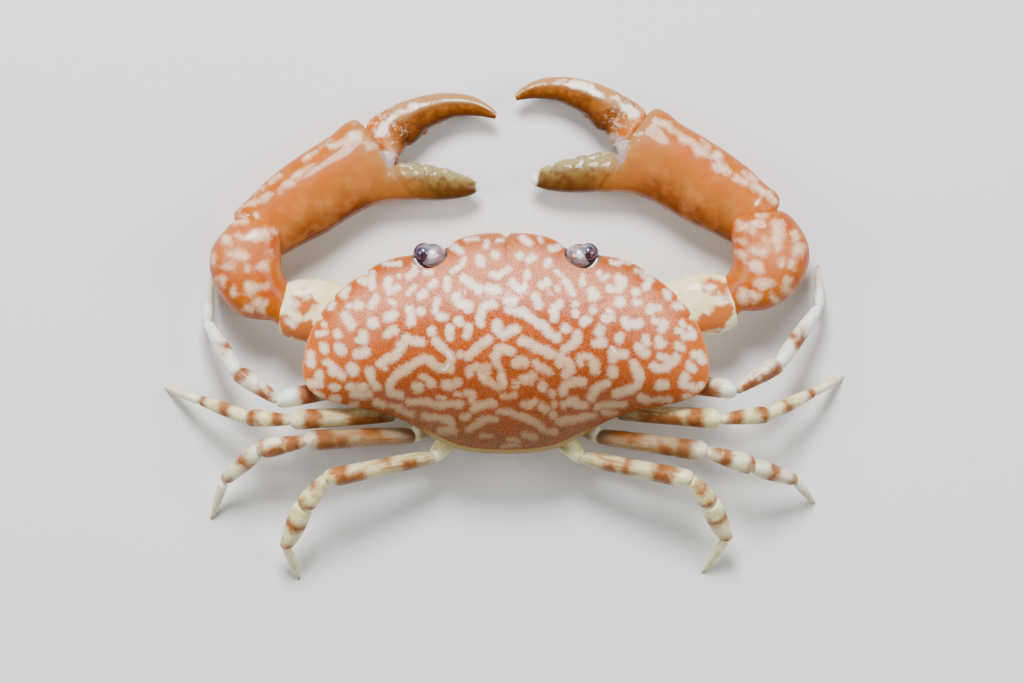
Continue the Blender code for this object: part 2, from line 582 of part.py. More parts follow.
def chela_frame(wrist, heading, mirror):
    """Maps the palm's own plane (along, across, up) to the body frame."""
    angle = math.radians(heading)
    along = np.array([-math.cos(angle) * mirror, -math.sin(angle), 0.0])
    across = np.array([math.sin(angle) * mirror, -math.cos(angle), 0.0])
    root = np.array([*wrist, 0.0])

    def to_body(u, v, w):
        level = CHELA_HEIGHTS[0] + (CHELA_HEIGHTS[1] - CHELA_HEIGHTS[0]) * np.clip(u / CHELA_LENGTH, 0, 1) ** 0.6
        return root + along * u + across * v + np.array([0, 0, level + w])

    return to_body


def palm_rings(to_body, mirror, stretch, shifts):
    across, up = section(PALM_SIDES, PALM_ROUNDNESS)
    slices = list(PALM)
    keys = np.asarray(FIXED_FINGER)
    base = PALM[-1][0]
    for at in np.linspace(0.04, 1, FIXED_TEETH * ROWS_PER_FIXED_TOOTH):
        low, high, thick = (np.interp(at, keys[:, 0], keys[:, i]) for i in (1, 2, 3))
        tooth = TOOTH_HEIGHT * abs(math.sin(math.pi * FIXED_TEETH * at)) * (1 - at) ** 0.3
        slices.append((base + FIXED_FINGER_LENGTH * stretch * at, low, high + tooth, thick))
    rings = []
    for u, low, high, thick in slices:
        low, high = low + shifts[0], high + shifts[1]
        middle, half = (high + low) / 2, (high - low) / 2
        rings.append([to_body(u, middle + a * half * mirror, b * thick) for a, b in zip(across, up)])
    return rings


def finger_rings(to_body, mirror, opening, stretch):
    across, up = section(FINGER_SIDES, ARM_ROUNDNESS)
    turn = math.radians(opening)
    spin = np.array([[math.cos(turn), -math.sin(turn)], [math.sin(turn), math.cos(turn)]])
    rows = spline(FINGER, np.linspace(0, len(FINGER) - 1, FINGER_TEETH * ROWS_PER_FINGER_TOOTH))
    rings = []
    for i, row in enumerate(rows):
        at = i / (len(rows) - 1) / FINGER_TEETH_REACH
        wave = abs(math.sin(math.pi * FINGER_TEETH * at)) * max(0.0, 1 - at) ** 0.4
        outer, inner = row[:2], row[2:4]
        if at > FINGER_TEETH_START:
            inward = (inner - outer) / np.linalg.norm(inner - outer)
            inner = inner + inward * FINGER_TOOTH_HEIGHT * wave
        arms = ((point - FINGER_PIVOT) * (stretch, 1) for point in (outer, inner))
        outer, inner = (FINGER_PIVOT + spin @ arm for arm in arms)
        middle, half = (outer + inner) / 2, (outer - inner) / 2
        ring = [to_body(*(middle + a * half), b * row[4]) for a, b in zip(across, up)]
        rings.append(ring[::mirror])
    return rings


def add_cheliped(side_name, mirror, crab, rooms):
    name = "cheliped_" + side_name
    wrist, heading, opening, finger_stretch, fixed_stretch, shifts = CHELAE[side_name]
    wrist_line = np.asarray(LEFT_WRIST if mirror > 0 else RIGHT_WRIST)
    arm = [np.array(point) * np.array([mirror, 1, 1]) for point in CHELIPED_ARM]
    end = wrist_line[0, :2] * ARM_AIM + wrist_line[0, 2:4] * (1 - ARM_AIM)
    arm[2] = np.array([*end, WRIST_LEVEL])

    rings = [wrist_ring(row)[::mirror] for row in wrist_line]
    carpus = place(name + "_carpus", tube_mesh(name + "_carpus", rings), WRIST_LOOK, crab)
    carpus_room = grown(carpus, crab)

    run = (arm[2] - arm[1]) / np.linalg.norm(arm[2] - arm[1])
    root = arm[0] - np.array([ARM_COXA_ROOT * mirror, 0, 0])
    coxa = arm_rings(root, arm[1] - run * HALF_GAP, ARM_COXA_PROFILE, ARM_COXA_SIDES)
    coxa = place(name + "_coxa", tube_mesh(name + "_coxa", coxa), ARM_COXA_LOOK, crab)
    merus = arm_rings(arm[1] + run * HALF_GAP, arm[2] + run * ARM_OVERLAP, ARM_MERUS_PROFILE, ARM_SIDES)
    merus = place(name + "_merus", tube_mesh(name + "_merus", merus), ARM_MERUS_LOOK, crab)
    cut(merus, carpus_room)
    for piece in (coxa, merus):
        for room in rooms:
            cut(piece, room)

    to_body = chela_frame(wrist, heading, mirror)
    palm = flattened(tube_mesh(name + "_palm", palm_rings(to_body, mirror, fixed_stretch, shifts)))
    palm = place(name + "_palm", palm, PALM_LOOK, crab)
    cut(palm, carpus_room)
    finger = tube_mesh(name + "_finger", finger_rings(to_body, mirror, opening, finger_stretch))
    cut(place(name + "_finger", finger, FINGER_LOOK, crab), grown(palm, crab))


def main():
    clear_scene()
    crab = bpy.data.objects.new("crab", None)
    bpy.context.scene.collection.objects.link(crab)
    crab.location = Vector(CENTRING) * MM
    carapace, thorax = add_body(crab)
    carapace_room = grown(carapace, crab)
    rooms = (grown(thorax, crab), carapace_room)
    add_abdomen(crab, rooms)
    add_mouth(crab, rooms)
    add_antennae(crab, carapace_room)
    add_eyes(crab, carapace_room)
    for name in JOINTS:
        add_leg(name, crab, rooms)
    for side_name, mirror in (("left", 1), ("right", -1)):
        add_cheliped(side_name, mirror, crab, rooms)


main()
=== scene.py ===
# %% [markdown]
# # A Paratergatis crab, seen from above
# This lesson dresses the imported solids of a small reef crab, about 68 mm from leg tip to leg tip.
# The solids give the size and the place of every part. Here each one gets its finer shape, its own
# pattern of spots and bands, and a finish that looks like living shell.

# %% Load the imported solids
import math

import bmesh
import bpy
import numpy as np
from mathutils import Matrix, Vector


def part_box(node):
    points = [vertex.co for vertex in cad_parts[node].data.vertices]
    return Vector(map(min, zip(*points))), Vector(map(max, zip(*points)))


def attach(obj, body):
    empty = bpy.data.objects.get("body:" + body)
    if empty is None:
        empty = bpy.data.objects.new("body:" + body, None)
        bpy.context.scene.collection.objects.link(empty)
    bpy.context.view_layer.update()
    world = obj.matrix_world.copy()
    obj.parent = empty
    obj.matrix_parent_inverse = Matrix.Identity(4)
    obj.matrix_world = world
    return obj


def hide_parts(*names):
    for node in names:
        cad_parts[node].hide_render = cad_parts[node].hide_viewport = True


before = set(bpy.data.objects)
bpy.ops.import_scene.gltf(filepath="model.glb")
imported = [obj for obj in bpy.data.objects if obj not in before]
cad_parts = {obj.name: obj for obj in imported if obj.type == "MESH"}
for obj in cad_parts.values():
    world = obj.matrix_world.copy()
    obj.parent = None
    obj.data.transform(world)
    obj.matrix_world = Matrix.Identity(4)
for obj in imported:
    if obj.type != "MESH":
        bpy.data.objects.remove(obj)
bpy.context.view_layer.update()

# %% [markdown]
# ## The crab's own measures
# Every size is in millimetres in the animal's own frame. The midline is x = 0, the crab faces -Y, its
# left side is +X and the floor is z = 0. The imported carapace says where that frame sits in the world.
# Patterns were noted on a drawing seen from above, in tenths of a millimetre.

# %% The body frame
MM = 0.001
BACK_EDGE = 10.9
carapace_low, carapace_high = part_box("carapace")
ORIGIN = np.array([(carapace_low.x + carapace_high.x) / 2, carapace_high.y - BACK_EDGE * MM, 0.0])
DRAWING_MIDLINE, DRAWING_LEVEL, DRAWING_SCALE = 506.0, 345.0, 10.0


def from_drawing(x, y):
    """A point of the drawing, in the body frame."""
    return (DRAWING_MIDLINE - x) / DRAWING_SCALE, (y - DRAWING_LEVEL) / DRAWING_SCALE


print("body frame starts at", np.round(ORIGIN / MM, 3), "mm")

# %% [markdown]
# ## Smooth lines through a few measured points
# A shell has no straight lines, so a few measured points are joined by a smooth curve. A Catmull-Rom
# spline passes through each of them, which keeps the measures true, where a Bezier would need handles.

# %% Curves, cross-sections and skins
def spline(keys, places):
    """Points on the smooth curve through the keys; place 0 is the first key and place 1 the second."""
    keys = np.asarray(keys, float)
    last = len(keys) - 1
    places = np.clip(np.asarray(places, float), 0, last)
    index = np.minimum(places.astype(int), last - 1)
    t = (places - index)[:, None]
    before, here = keys[np.maximum(index - 1, 0)], keys[index]
    there, after = keys[index + 1], keys[np.minimum(index + 2, last)]
    bend = 2 * before - 5 * here + 4 * there - after
    return 0.5 * (2 * here + (there - before) * t + bend * t**2 + (3 * here - before - 3 * there + after) * t**3)


def finer(keys, count):
    """The same curve with count rows."""
    return spline(keys, np.linspace(0, len(keys) - 1, count))


def ramp(values, low, high):
    """0 at low, 1 at high, even between them and flat beyond."""
    return np.clip((values - low) / (high - low), 0, 1)


def bell(values, reach):
    """1 at zero, fading evenly to both sides."""
    return np.exp(-((values / reach) ** 2))


def unit(vectors):
    """The same directions, each with length 1."""
    vectors = np.asarray(vectors, float)
    return vectors / np.linalg.norm(vectors, axis=-1, keepdims=True)


def section(sides, power):
    """Unit points of a cross-section, anticlockwise from the side. Power 2 is round, and more is squarer."""
    angles = np.arange(sides) * 2 * math.pi / sides
    cos, sin = np.cos(angles), np.sin(angles)
    return np.sign(cos) * abs(cos) ** (2 / power), np.sign(sin) * abs(sin) ** (2 / power)


def skin(name, rings, start=None, end=None, values=None):
    """A closed skin over rings of equal size. Values gives each point numbers that a material can read."""
    rings = [np.asarray(ring, float) for ring in rings]
    rows, around = len(rings), len(rings[0])
    start = rings[0].mean(axis=0) if start is None else np.asarray(start, float)
    end = rings[-1].mean(axis=0) if end is None else np.asarray(end, float)
    points = np.concatenate([*rings, [start, end]])
    low = np.arange((rows - 1) * around).reshape(rows - 1, around)
    low_next = np.roll(low, -1, axis=1)
    quads = np.stack([low, low_next, low_next + around, low + around], axis=2).reshape(-1, 4)
    first = np.arange(around)
    last = first + (rows - 1) * around
    fans = [(rows * around, int(k), int(j)) for j, k in zip(first, np.roll(first, -1))]
    fans += [(rows * around + 1, int(j), int(k)) for j, k in zip(last, np.roll(last, -1))]
    faces = [tuple(map(int, quad)) for quad in quads] + fans
    # Faces look outward when the space they enclose counts as positive
    a, b, c, d = points[quads].transpose(1, 0, 2)
    if (a * (np.cross(b, c) + np.cross(c, d))).sum() < 0:
        faces = [face[::-1] for face in faces]
    mesh = bpy.data.meshes.new(name)
    mesh.from_pydata((points * MM + ORIGIN).tolist(), [], faces)
    mesh.shade_smooth()
    for key, numbers in (values or {}).items():
        numbers = np.asarray(numbers, float)
        if numbers.ndim == 1:
            numbers = np.repeat(numbers[:, None], around, axis=1)
        paint_values(mesh, **{key: [*numbers.ravel(), numbers[0].mean(), numbers[-1].mean()]})
    return mesh


def capped_skin(name, rings, depth, values=None, steps=4):
    """A skin with a rounded cap at both ends. The caps keep the values of the end rings."""
    rings = [np.asarray(ring, float) for ring in rings]
    caps = []
    for end, inside in ((rings[0], rings[1]), (rings[-1], rings[-2])):
        middle = end.mean(axis=0)
        out = unit(middle - inside.mean(axis=0))
        turns = np.linspace(0, math.pi / 2, steps + 1)[1:-1]
        caps.append([middle + (end - middle) * math.cos(t) + out * depth * math.sin(t) for t in turns])
    values = {
        key: np.concatenate([numbers[:1]] * (steps - 1) + [numbers] + [numbers[-1:]] * (steps - 1))
        for key, numbers in (values or {}).items()
    }
    return skin(name, caps[0][::-1] + rings + caps[1], values=values)


def paint_values(mesh, **values):
    """Stores one number per point under each name, where a material can read it."""
    for name, numbers in values.items():
        layer = mesh.attributes.get(name) or mesh.attributes.new(name, "FLOAT", "POINT")
        layer.data.foreach_set("value", np.asarray(numbers, np.float32))


def mesh_points(mesh):
    """The mesh's points in the body frame, in millimetres."""
    flat = np.zeros(len(mesh.vertices) * 3)
    mesh.vertices.foreach_get("co", flat)
    return (flat.reshape(-1, 3) - ORIGIN) / MM


print("a test curve has", len(finer([(0, 0), (1, 1), (2, 0)], 9)), "points")

# %% [markdown]
# ## Placing a finished piece
# Each piece rides on the crab's one body and stands for the plain solid that it replaces. One helper
# does all of that in the same way for every piece.

# %% Finished pieces
SIDES = {"left": 1, "right": -1}
made_pieces = []


def placed(name, data):
    """A new object in the scene with this mesh, lamp or camera."""
    thing = bpy.data.objects.new(name, data)
    bpy.context.scene.collection.objects.link(thing)
    return thing


def modified(thing):
    """The plain mesh that an object's modifiers make. The object itself goes."""
    bpy.context.view_layer.update()
    mesh = bpy.data.meshes.new_from_object(thing.evaluated_get(bpy.context.evaluated_depsgraph_get()))
    bpy.data.objects.remove(thing)
    return mesh


def finish_piece(name, mesh, paint, slot, nodes=()):
    mesh.name = name
    mesh.materials.clear()
    mesh.materials.append(paint.material)
    piece = placed(name, mesh)
    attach(piece, "root")
    if nodes:
        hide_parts(*nodes)
    made_pieces.append(piece)


def finish_shell(node, mesh, paint, slot):
    """A piece that stands for one solid and is named after it."""
    finish_piece(f"{node}_shell", mesh, paint, slot, [node])


print("nodes to stand for:", len(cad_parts))

# %% [markdown]
# ## Mixing finishes with plain sums
# A finish is a small network of nodes. Writing it as sums keeps it readable: a wire that is added to or
# multiplied by another adds a Math node. Colours are laid over each other with Mix nodes, like coats of
# paint, each with the share of the ground that it covers.

# %% Wires and finishes
class Wire:
    """One output of a node tree."""

    def __init__(self, graph, socket):
        self.graph, self.socket = graph, socket

    def __add__(self, other):
        return self.graph.maths("ADD", self, other)

    __radd__ = __add__

    def __sub__(self, other):
        return self.graph.maths("SUBTRACT", self, other)

    def __rsub__(self, other):
        return self.graph.maths("SUBTRACT", other, self)

    def __mul__(self, other):
        return self.graph.maths("MULTIPLY", self, other)

    __rmul__ = __mul__


class Graph:
    """A node tree that is being wired, for a finish or for Geometry Nodes."""

    def __init__(self, tree):
        self.tree = tree

    def node(self, kind, settings=None, sockets=None, output=0):
        """A node of this kind: its settings first, then the values or wires of its sockets."""
        made = self.tree.nodes.new(kind)
        for name, value in (settings or {}).items():
            setattr(made, name, value)
        for socket, value in (sockets or {}).items():
            if isinstance(value, Wire):
                self.tree.links.new(value.socket, made.inputs[socket])
            else:
                made.inputs[socket].default_value = value
        return Wire(self, made.outputs[output])

    def maths(self, operation, *terms):
        return self.node("ShaderNodeMath", {"operation": operation}, dict(enumerate(terms)))


def srgb(red, green, blue):
    """A colour given as 0 to 255, in the renderer's own scale."""
    channels = [channel / 255 for channel in (red, green, blue)]
    return (*[c / 12.92 if c <= 0.04045 else ((c + 0.055) / 1.055) ** 2.4 for c in channels], 1.0)


GLOW_SPREAD, GLOW_DEPTH = (1.0, 0.45, 0.25), 0.6


class Finish(Graph):
    """A material with the helpers that the crab's finishes share."""

    def __init__(self, name, roughness=0.35, coat=0.0, coat_roughness=0.2, specular=0.5, subsurface=0.0):
        self.material = bpy.data.materials.new(name)
        self.material.use_nodes = True
        super().__init__(self.material.node_tree)
        self.shader = self.tree.nodes["Principled BSDF"]
        constants = {
            "Roughness": roughness, "Coat Weight": coat, "Coat Roughness": coat_roughness,
            "Specular IOR Level": specular, "Subsurface Weight": subsurface,
            "Subsurface Radius": GLOW_SPREAD, "Subsurface Scale": GLOW_DEPTH * MM,
        }
        for socket, constant in constants.items():
            self.shader.inputs[socket].default_value = constant
        self.place = self.node("ShaderNodeTexCoord", output="Object")

    def value(self, name):
        """The number that the mesh stores under this name."""
        return self.node("ShaderNodeAttribute", {"attribute_name": name}, output="Fac")

    def noise(self, size, detail=3.0, rough=0.5):
        """Soft random patches of about this size in millimetres, from 0 to 1."""
        sockets = {"Vector": self.place, "Scale": 1 / (size * MM), "Detail": detail, "Roughness": rough}
        return self.node("ShaderNodeTexNoise", sockets=sockets)

    def wobble(self, size, amount, detail=3.0, rough=0.5):
        """The same patches as a push of up to half the amount, up or down."""
        return (self.noise(size, detail, rough) - 0.5) * amount

    def patches(self, size, low, high, detail=3.0, rough=0.5):
        """The same patches with clear edges."""
        return self.rise(self.noise(size, detail, rough), low, high)

    def cells(self, size):
        """Distance to the middle of small cells of about this size in millimetres."""
        return self.node("ShaderNodeTexVoronoi", sockets={"Vector": self.place, "Scale": 1 / (size * MM)})

    def rise(self, value, low, high):
        """0 below low, 1 above high and a smooth rise between."""
        sockets = {"Value": value, "From Min": low, "From Max": high}
        return self.node("ShaderNodeMapRange", {"interpolation_type": "SMOOTHSTEP"}, sockets)

    def layers(self, colour, *coats):
        """Coats laid over a colour in turn, each a share and a colour. Plain colours are 0 to 255."""
        for share, coat in coats:
            first, second = (srgb(*c) if isinstance(c, tuple) else c for c in (colour, coat))
            colour = self.node("ShaderNodeMix", {"data_type": "RGBA"}, {0: share, 6: first, 7: second}, 2)
        return colour

    def colour(self, ground, *coats):
        self.tree.links.new(self.layers(ground, *coats).socket, self.shader.inputs["Base Color"])

    def rough(self, wire):
        self.tree.links.new(wire.socket, self.shader.inputs["Roughness"])

    def bump(self, height, depth, strength=1.0):
        """Raises the surface by up to depth millimetres where height is 1."""
        sockets = {"Height": height, "Distance": depth * MM, "Strength": strength}
        normal = self.node("ShaderNodeBump", sockets=sockets)
        self.tree.links.new(normal.socket, self.shader.inputs["Normal"])


print("a mid orange in the renderer's scale:", [round(c, 3) for c in srgb(230, 120, 50)])

# %% [markdown]
# ## Spots and worm lines
# The crab's shell has pale spots and worm-like lines on orange. Each one is noted as a stroke of a round
# brush: its half width, then the points that it follows. Every mesh point then stores how deep it lies
# inside the nearest stroke. A finish turns that one smooth number into a clean edge at any closeness,
# which a painted picture could not do.

# %% Brush strokes
def read_strokes(text):
    """Strokes written as half width, x, y, x, y, ... with a space between strokes."""
    strokes = []
    for word in text.split():
        half, *numbers = (float(number) for number in word.split(","))
        strokes.append((half / DRAWING_SCALE, [from_drawing(x, y) for x, y in zip(numbers[::2], numbers[1::2])]))
    return strokes


WOBBLES = ((2.9, 0.13, 0.4), (1.7, 0.10, 2.1), (1.05, 0.06, 4.4))  # length, push and phase


def wobbled(flat, share):
    """Points pushed about a little by slow waves, so that brush strokes get uneven, living edges."""
    x, y = flat[:, 0], flat[:, 1]
    shift = np.zeros_like(flat)
    for wave, push, phase in WOBBLES:
        turn = 2 * math.pi / wave
        shift[:, 0] += push * np.sin(turn * (y + 0.6 * x) + phase) + push * np.sin(turn * 0.8 * (x - 0.3 * y))
        shift[:, 1] += push * np.sin(turn * (x - 0.7 * y) - phase) + push * np.sin(turn * 0.9 * (y + 0.4 * x))
    return flat + shift * share


def distance_to(flat, path):
    """How far each point lies from a path, seen from above."""
    path = np.asarray(path, float)
    best = np.full(len(flat), np.inf)
    for a, b in zip(path[:-1], path[1:]):
        run = b - a
        share = np.clip((flat - a) @ run / (run @ run), 0, 1)
        best = np.minimum(best, np.linalg.norm(flat - a - share[:, None] * run, axis=1))
    return best


STROKE_MARGIN = 1.0


def depth_in_strokes(points, strokes, nothing=-5.0, wobble=0.2):
    """How deep each point lies inside the nearest stroke, in millimetres and seen from above."""
    flat = wobbled(np.asarray(points)[:, :2], wobble)
    depth = np.full(len(flat), nothing)
    for half, path in strokes:
        reach = half + STROKE_MARGIN
        near = ((flat > np.min(path, axis=0) - reach) & (flat < np.max(path, axis=0) + reach)).all(axis=1)
        depth[near] = np.maximum(depth[near], half - distance_to(flat[near], path))
    return depth


print("a stroke reads as", read_strokes("4,506,345,516,345"))

# %% [markdown]
# ## The carapace
# On the animal this is one domed plate, widest behind the middle, with a notch between the two frontal
# lobes, three small fissures on each front side and a rolled rim. It could be sculpted, but rings that
# run from the rim to the crown follow its shape with even detail, and every measure stays a number.

# %% The shell's outline
CARAPACE_HALF_WIDTH = 20.35
MARGIN = (
    (0.0, -11.2), (2.0, -11.2), (4.0, -10.85), (5.2, -10.35), (5.9, -9.75), (7.6, -9.3), (9.4, -9.0),
    (11.0, -8.75), (12.5, -8.25), (13.6, -7.65), (14.7, -6.9), (16.0, -5.95), (17.3, -4.75), (18.35, -3.4),
    (19.2, -2.0), (19.8, -0.6), (20.15, 0.7), (CARAPACE_HALF_WIDTH, 2.1), (20.25, 3.3), (19.75, 4.35),
    (18.9, 5.1), (17.5, 5.65), (16.0, 6.0), (14.2, 6.35), (12.4, 6.75), (10.7, 7.35), (9.2, 8.1),
    (7.6, 9.1), (5.9, 10.0), (4.4, 10.5), (2.5, 10.8), (0.0, BACK_EDGE),
)
# The notch and the fissures: x, depth and half width
FRONT_NOTCH = (0.0, 0.34, 0.42)
MARGIN_FISSURES = ((14.25, 0.5, 0.36), (17.4, 0.3, 0.3), (18.75, 0.5, 0.36))
NICK_SHARPNESS = 1.6
CROWN = (0.0, -1.5, 15.2)
DOME_POWER = 2.3
OVAL_HALF_LENGTH = 10.5
MARGIN_HEIGHT_KEYS = ((-11.2, 7.6), (-9.0, 8.1), (-3.0, 8.7), (2.5, 8.8), (6.0, 8.3), (8.0, 7.8), (11.0, 7.3))
ROOF_LEVEL = 5.9
OUTLINE_POINTS, MARGIN_STEPS = 281, 4000


def both_halves(half, mirror=(-1, 1)):
    """The left half of a ring, followed by its mirror image."""
    return np.concatenate([half, (half * np.array(mirror))[::-1][1:-1]])


def shell_outline(count, smoothing=12):
    """The whole rim, anticlockwise: points, how far each is nicked inward, and heights."""
    fine = finer(MARGIN, MARGIN_STEPS)
    walk = np.concatenate([[0], np.cumsum(np.linalg.norm(np.diff(fine, axis=0), axis=1))])
    stops = np.linspace(0, walk[-1], count)
    half = np.stack([np.interp(stops, walk, fine[:, axis]) for axis in (0, 1)], axis=1)
    front = int(np.argmax(half[:, 0]))
    nick = np.zeros(count)
    for x, depth, width in (FRONT_NOTCH, *MARGIN_FISSURES):
        at = stops[int(np.argmin(abs(half[:front, 0] - x)))]
        nick += depth * bell(stops - at, width) ** NICK_SHARPNESS
    heights = np.pad(np.interp(half[:, 1], *zip(*MARGIN_HEIGHT_KEYS)), smoothing, mode="reflect")
    window = np.full(2 * smoothing + 1, 1 / (2 * smoothing + 1))
    heights = both_halves(np.convolve(heights, window, "valid"), 1)
    whole = both_halves(half)
    return whole, -unit(whole) * both_halves(nick, 1)[:, None], heights


outline, outline_nicks, outline_heights = shell_outline(OUTLINE_POINTS)
print("rim points:", len(outline), "heights", outline_heights.min().round(2), "to", outline_heights.max().round(2))

# %% [markdown]
# The shell isn't an even dome. Shallow furrows mark off the regions over its organs, the strongest one
# runs back from the frontal notch, and the eye sockets have a raised lip.

# %% Furrows, swellings and socket lips
ORBIT = (7.65, -9.15, 9.7)
ORBIT_RADII = (1.85, 1.95, 3.3)
ORBIT_LIP = (0.16, 0.32)  # height and reach
LIP_START = -0.2  # as a share of the socket's radius
# Half of the furrows: depth, half width, then the points along each
FURROWS = (
    (0.20, 0.15, ((0.0, -11.5), (0.0, -9.4), (0.0, -8.4))),
    (0.10, 0.45, ((3.0, -7.6), (3.9, -5.6), (4.2, -3.4), (3.6, -1.2), (2.6, 0.6))),
    (0.10, 0.45, ((2.6, 0.6), (3.3, 2.6), (2.9, 4.6), (2.0, 6.4))),
    (0.08, 0.50, ((4.0, -4.4), (6.8, -3.4), (9.4, -3.9), (11.8, -5.2))),
    (0.07, 0.45, ((9.2, -3.8), (10.8, -1.2), (12.6, 1.6))),
    (0.06, 0.40, ((0.0, 3.0), (1.6, 2.8), (3.0, 2.9))),
)
# Half of the swellings: height, x, y and reach
SWELLINGS = (
    (0.14, 2.4, -6.3, 1.7), (0.10, 6.4, -5.6, 1.9), (0.10, 11.4, -3.0, 2.4), (0.10, 15.6, -0.4, 2.2),
    (0.08, 1.0, 4.9, 1.4), (0.08, 7.4, 3.2, 2.6), (0.07, 12.8, 4.0, 1.8),
)


def shell_relief(points):
    """How far the shell stands above its plain dome, in millimetres."""
    flat = np.stack([abs(points[:, 0]), points[:, 1]], axis=1)
    rise = np.zeros(len(flat))
    for depth, width, path in FURROWS:
        rise -= depth * bell(distance_to(flat, path), width)
    for height, x, y, reach in SWELLINGS:
        rise += height * bell(np.hypot(flat[:, 0] - x, flat[:, 1] - y), reach)
    lip = np.linalg.norm((flat - ORBIT[:2]) / ORBIT_RADII[:2], axis=1) - 1
    return rise + ORBIT_LIP[0] * bell(np.clip(lip, LIP_START, None) * ORBIT_RADII[0], ORBIT_LIP[1])


print("relief at the midline furrow:", shell_relief(np.array([[0.0, -9.0, 9.0]])).round(3))

# %% The shell's rings
WALL = (
    (0.0, -8.3), (2.6, -8.2), (5.2, -7.6), (7.4, -6.3), (9.0, -4.6), (9.8, -2.4), (10.1, 0.0), (10.1, 2.4),
    (9.6, 4.6), (8.6, 6.5), (7.2, 8.0), (5.3, 8.95), (2.8, 9.35), (0.0, 9.4),
)
WALL_STEPS = 90
RIM_RADIUS, RIM_DROP = 0.16, 0.1
# Rings below the rim, round it and over the dome. The shares run from the wall to the rim, and from the
# rim to the crown. The turns are in degrees from level.
UNDER_ROWS, RIM_ROWS, DOME_ROWS = 13, 7, 132
UNDER_SHARES, RIM_TURNS, DOME_SHARES = (0.12, 0.97), (-65, 50), (0.988, 0.012)
UNDER_DROP, UNDER_POWER = 0.35, 0.8
# How fast the rim's shape and its nicks fade away from the rim
SHAPE_POWER, NICK_POWER, UNDER_NICK_POWER = 3, 14, 9
REAR_FURROW = (0.07, 0.42, 0.16)  # depth, distance from the edge and half width
REAR_START = (5.5, 7.0)
MIDDLE = np.array(CROWN[:2])


def wall_ring(toward):
    """The thorax wall, in the same directions from the crown as the given points."""
    arms = both_halves(finer(WALL, WALL_STEPS)) - MIDDLE
    bearings = np.arctan2(*arms.T)
    order = np.argsort(bearings)
    aim = toward - MIDDLE
    reach = np.linalg.norm(arms, axis=1)[order]
    reach = np.interp(np.arctan2(*aim.T), bearings[order], reach, period=2 * math.pi)
    return MIDDLE + unit(aim) * reach[:, None]


def dome_ring(share):
    """The dome at this share of the way from the crown, where it is an even oval, to the nicked rim."""
    arms = outline - MIDDLE
    bearings = np.arctan2(arms[:, 1] / OVAL_HALF_LENGTH, arms[:, 0] / CARAPACE_HALF_WIDTH)
    oval = np.stack([CARAPACE_HALF_WIDTH * np.cos(bearings), BACK_EDGE * np.sin(bearings)], axis=1)
    blend = share**SHAPE_POWER
    flat = MIDDLE + share * (oval * (1 - blend) + arms * blend) + outline_nicks * share**NICK_POWER
    height = outline_heights + (CROWN[2] - outline_heights) * (1 - share**DOME_POWER)
    depth, back, width = REAR_FURROW
    furrow = depth * bell((1 - share) * np.linalg.norm(arms, axis=1) - back, width)
    return np.column_stack([flat, height + shell_relief(flat) - furrow * ramp(outline[:, 1], *REAR_START)])


def shell_rings():
    wall, edge = wall_ring(outline), outline + outline_nicks
    rings = [np.column_stack([wall, np.full(len(wall), ROOF_LEVEL)])]
    for share in np.linspace(*UNDER_SHARES, UNDER_ROWS):
        flat = wall * (1 - share) + (outline + outline_nicks * share**UNDER_NICK_POWER) * share
        height = ROOF_LEVEL + (outline_heights - UNDER_DROP - ROOF_LEVEL) * share**UNDER_POWER
        rings.append(np.column_stack([flat, height]))
    for turn in np.radians(np.linspace(*RIM_TURNS, RIM_ROWS)):
        flat = edge - unit(outline - MIDDLE) * RIM_RADIUS * (1 - math.cos(turn))
        rings.append(np.column_stack([flat, outline_heights - RIM_DROP + RIM_RADIUS * math.sin(turn)]))
    return rings + [dome_ring(share) for share in np.linspace(*DOME_SHARES, DOME_ROWS)]


shell_mesh = skin("shell", shell_rings(), end=CROWN)
print("shell:", len(shell_mesh.vertices), "points")

# %% [markdown]
# The eyes sit in two round sockets in the front edge. A Boolean modifier cuts them, as a drill would,
# and its result is then kept as the shell's own mesh. The pattern's numbers are stored after the cut, so
# that the new points inside the sockets have them too.

# %% Cut the eye sockets
SOCKET_SIDES, SOCKET_ROWS = 56, 31
SHARP_ANGLE = math.radians(38)


def ball(name, centre, radii, sides, rows):
    across, forth = section(sides, 2)
    tilts = np.linspace(-math.pi / 2, math.pi / 2, rows + 2)[1:-1]
    rings = [
        centre + np.column_stack([across * math.cos(t), forth * math.cos(t), np.full(sides, math.sin(t))]) * radii
        for t in tilts
    ]
    pole = np.array([0, 0, radii[2]])
    return skin(name, rings, centre - pole, centre + pole)


def cut_away(mesh, cutters):
    """The mesh with every cutter's space taken out of it."""
    whole = placed("being_cut", mesh)
    tools = [placed("cutter", cutter) for cutter in cutters]
    for tool in tools:
        boolean = whole.modifiers.new("cut", "BOOLEAN")
        boolean.operation, boolean.solver, boolean.object = "DIFFERENCE", "EXACT", tool
    mesh = modified(whole)
    for tool in tools:
        bpy.data.objects.remove(tool)
    return mesh


sockets = [
    ball("socket", np.array([ORBIT[0] * side, *ORBIT[1:]]), ORBIT_RADII, SOCKET_SIDES, SOCKET_ROWS)
    for side in SIDES.values()
]
shell_mesh = cut_away(shell_mesh, sockets)
shell_mesh.shade_smooth()
shell_mesh.set_sharp_from_angle(angle=SHARP_ANGLE)
shell_mesh.calc_loop_triangles()
print("shell with sockets:", len(shell_mesh.loop_triangles), "triangles")

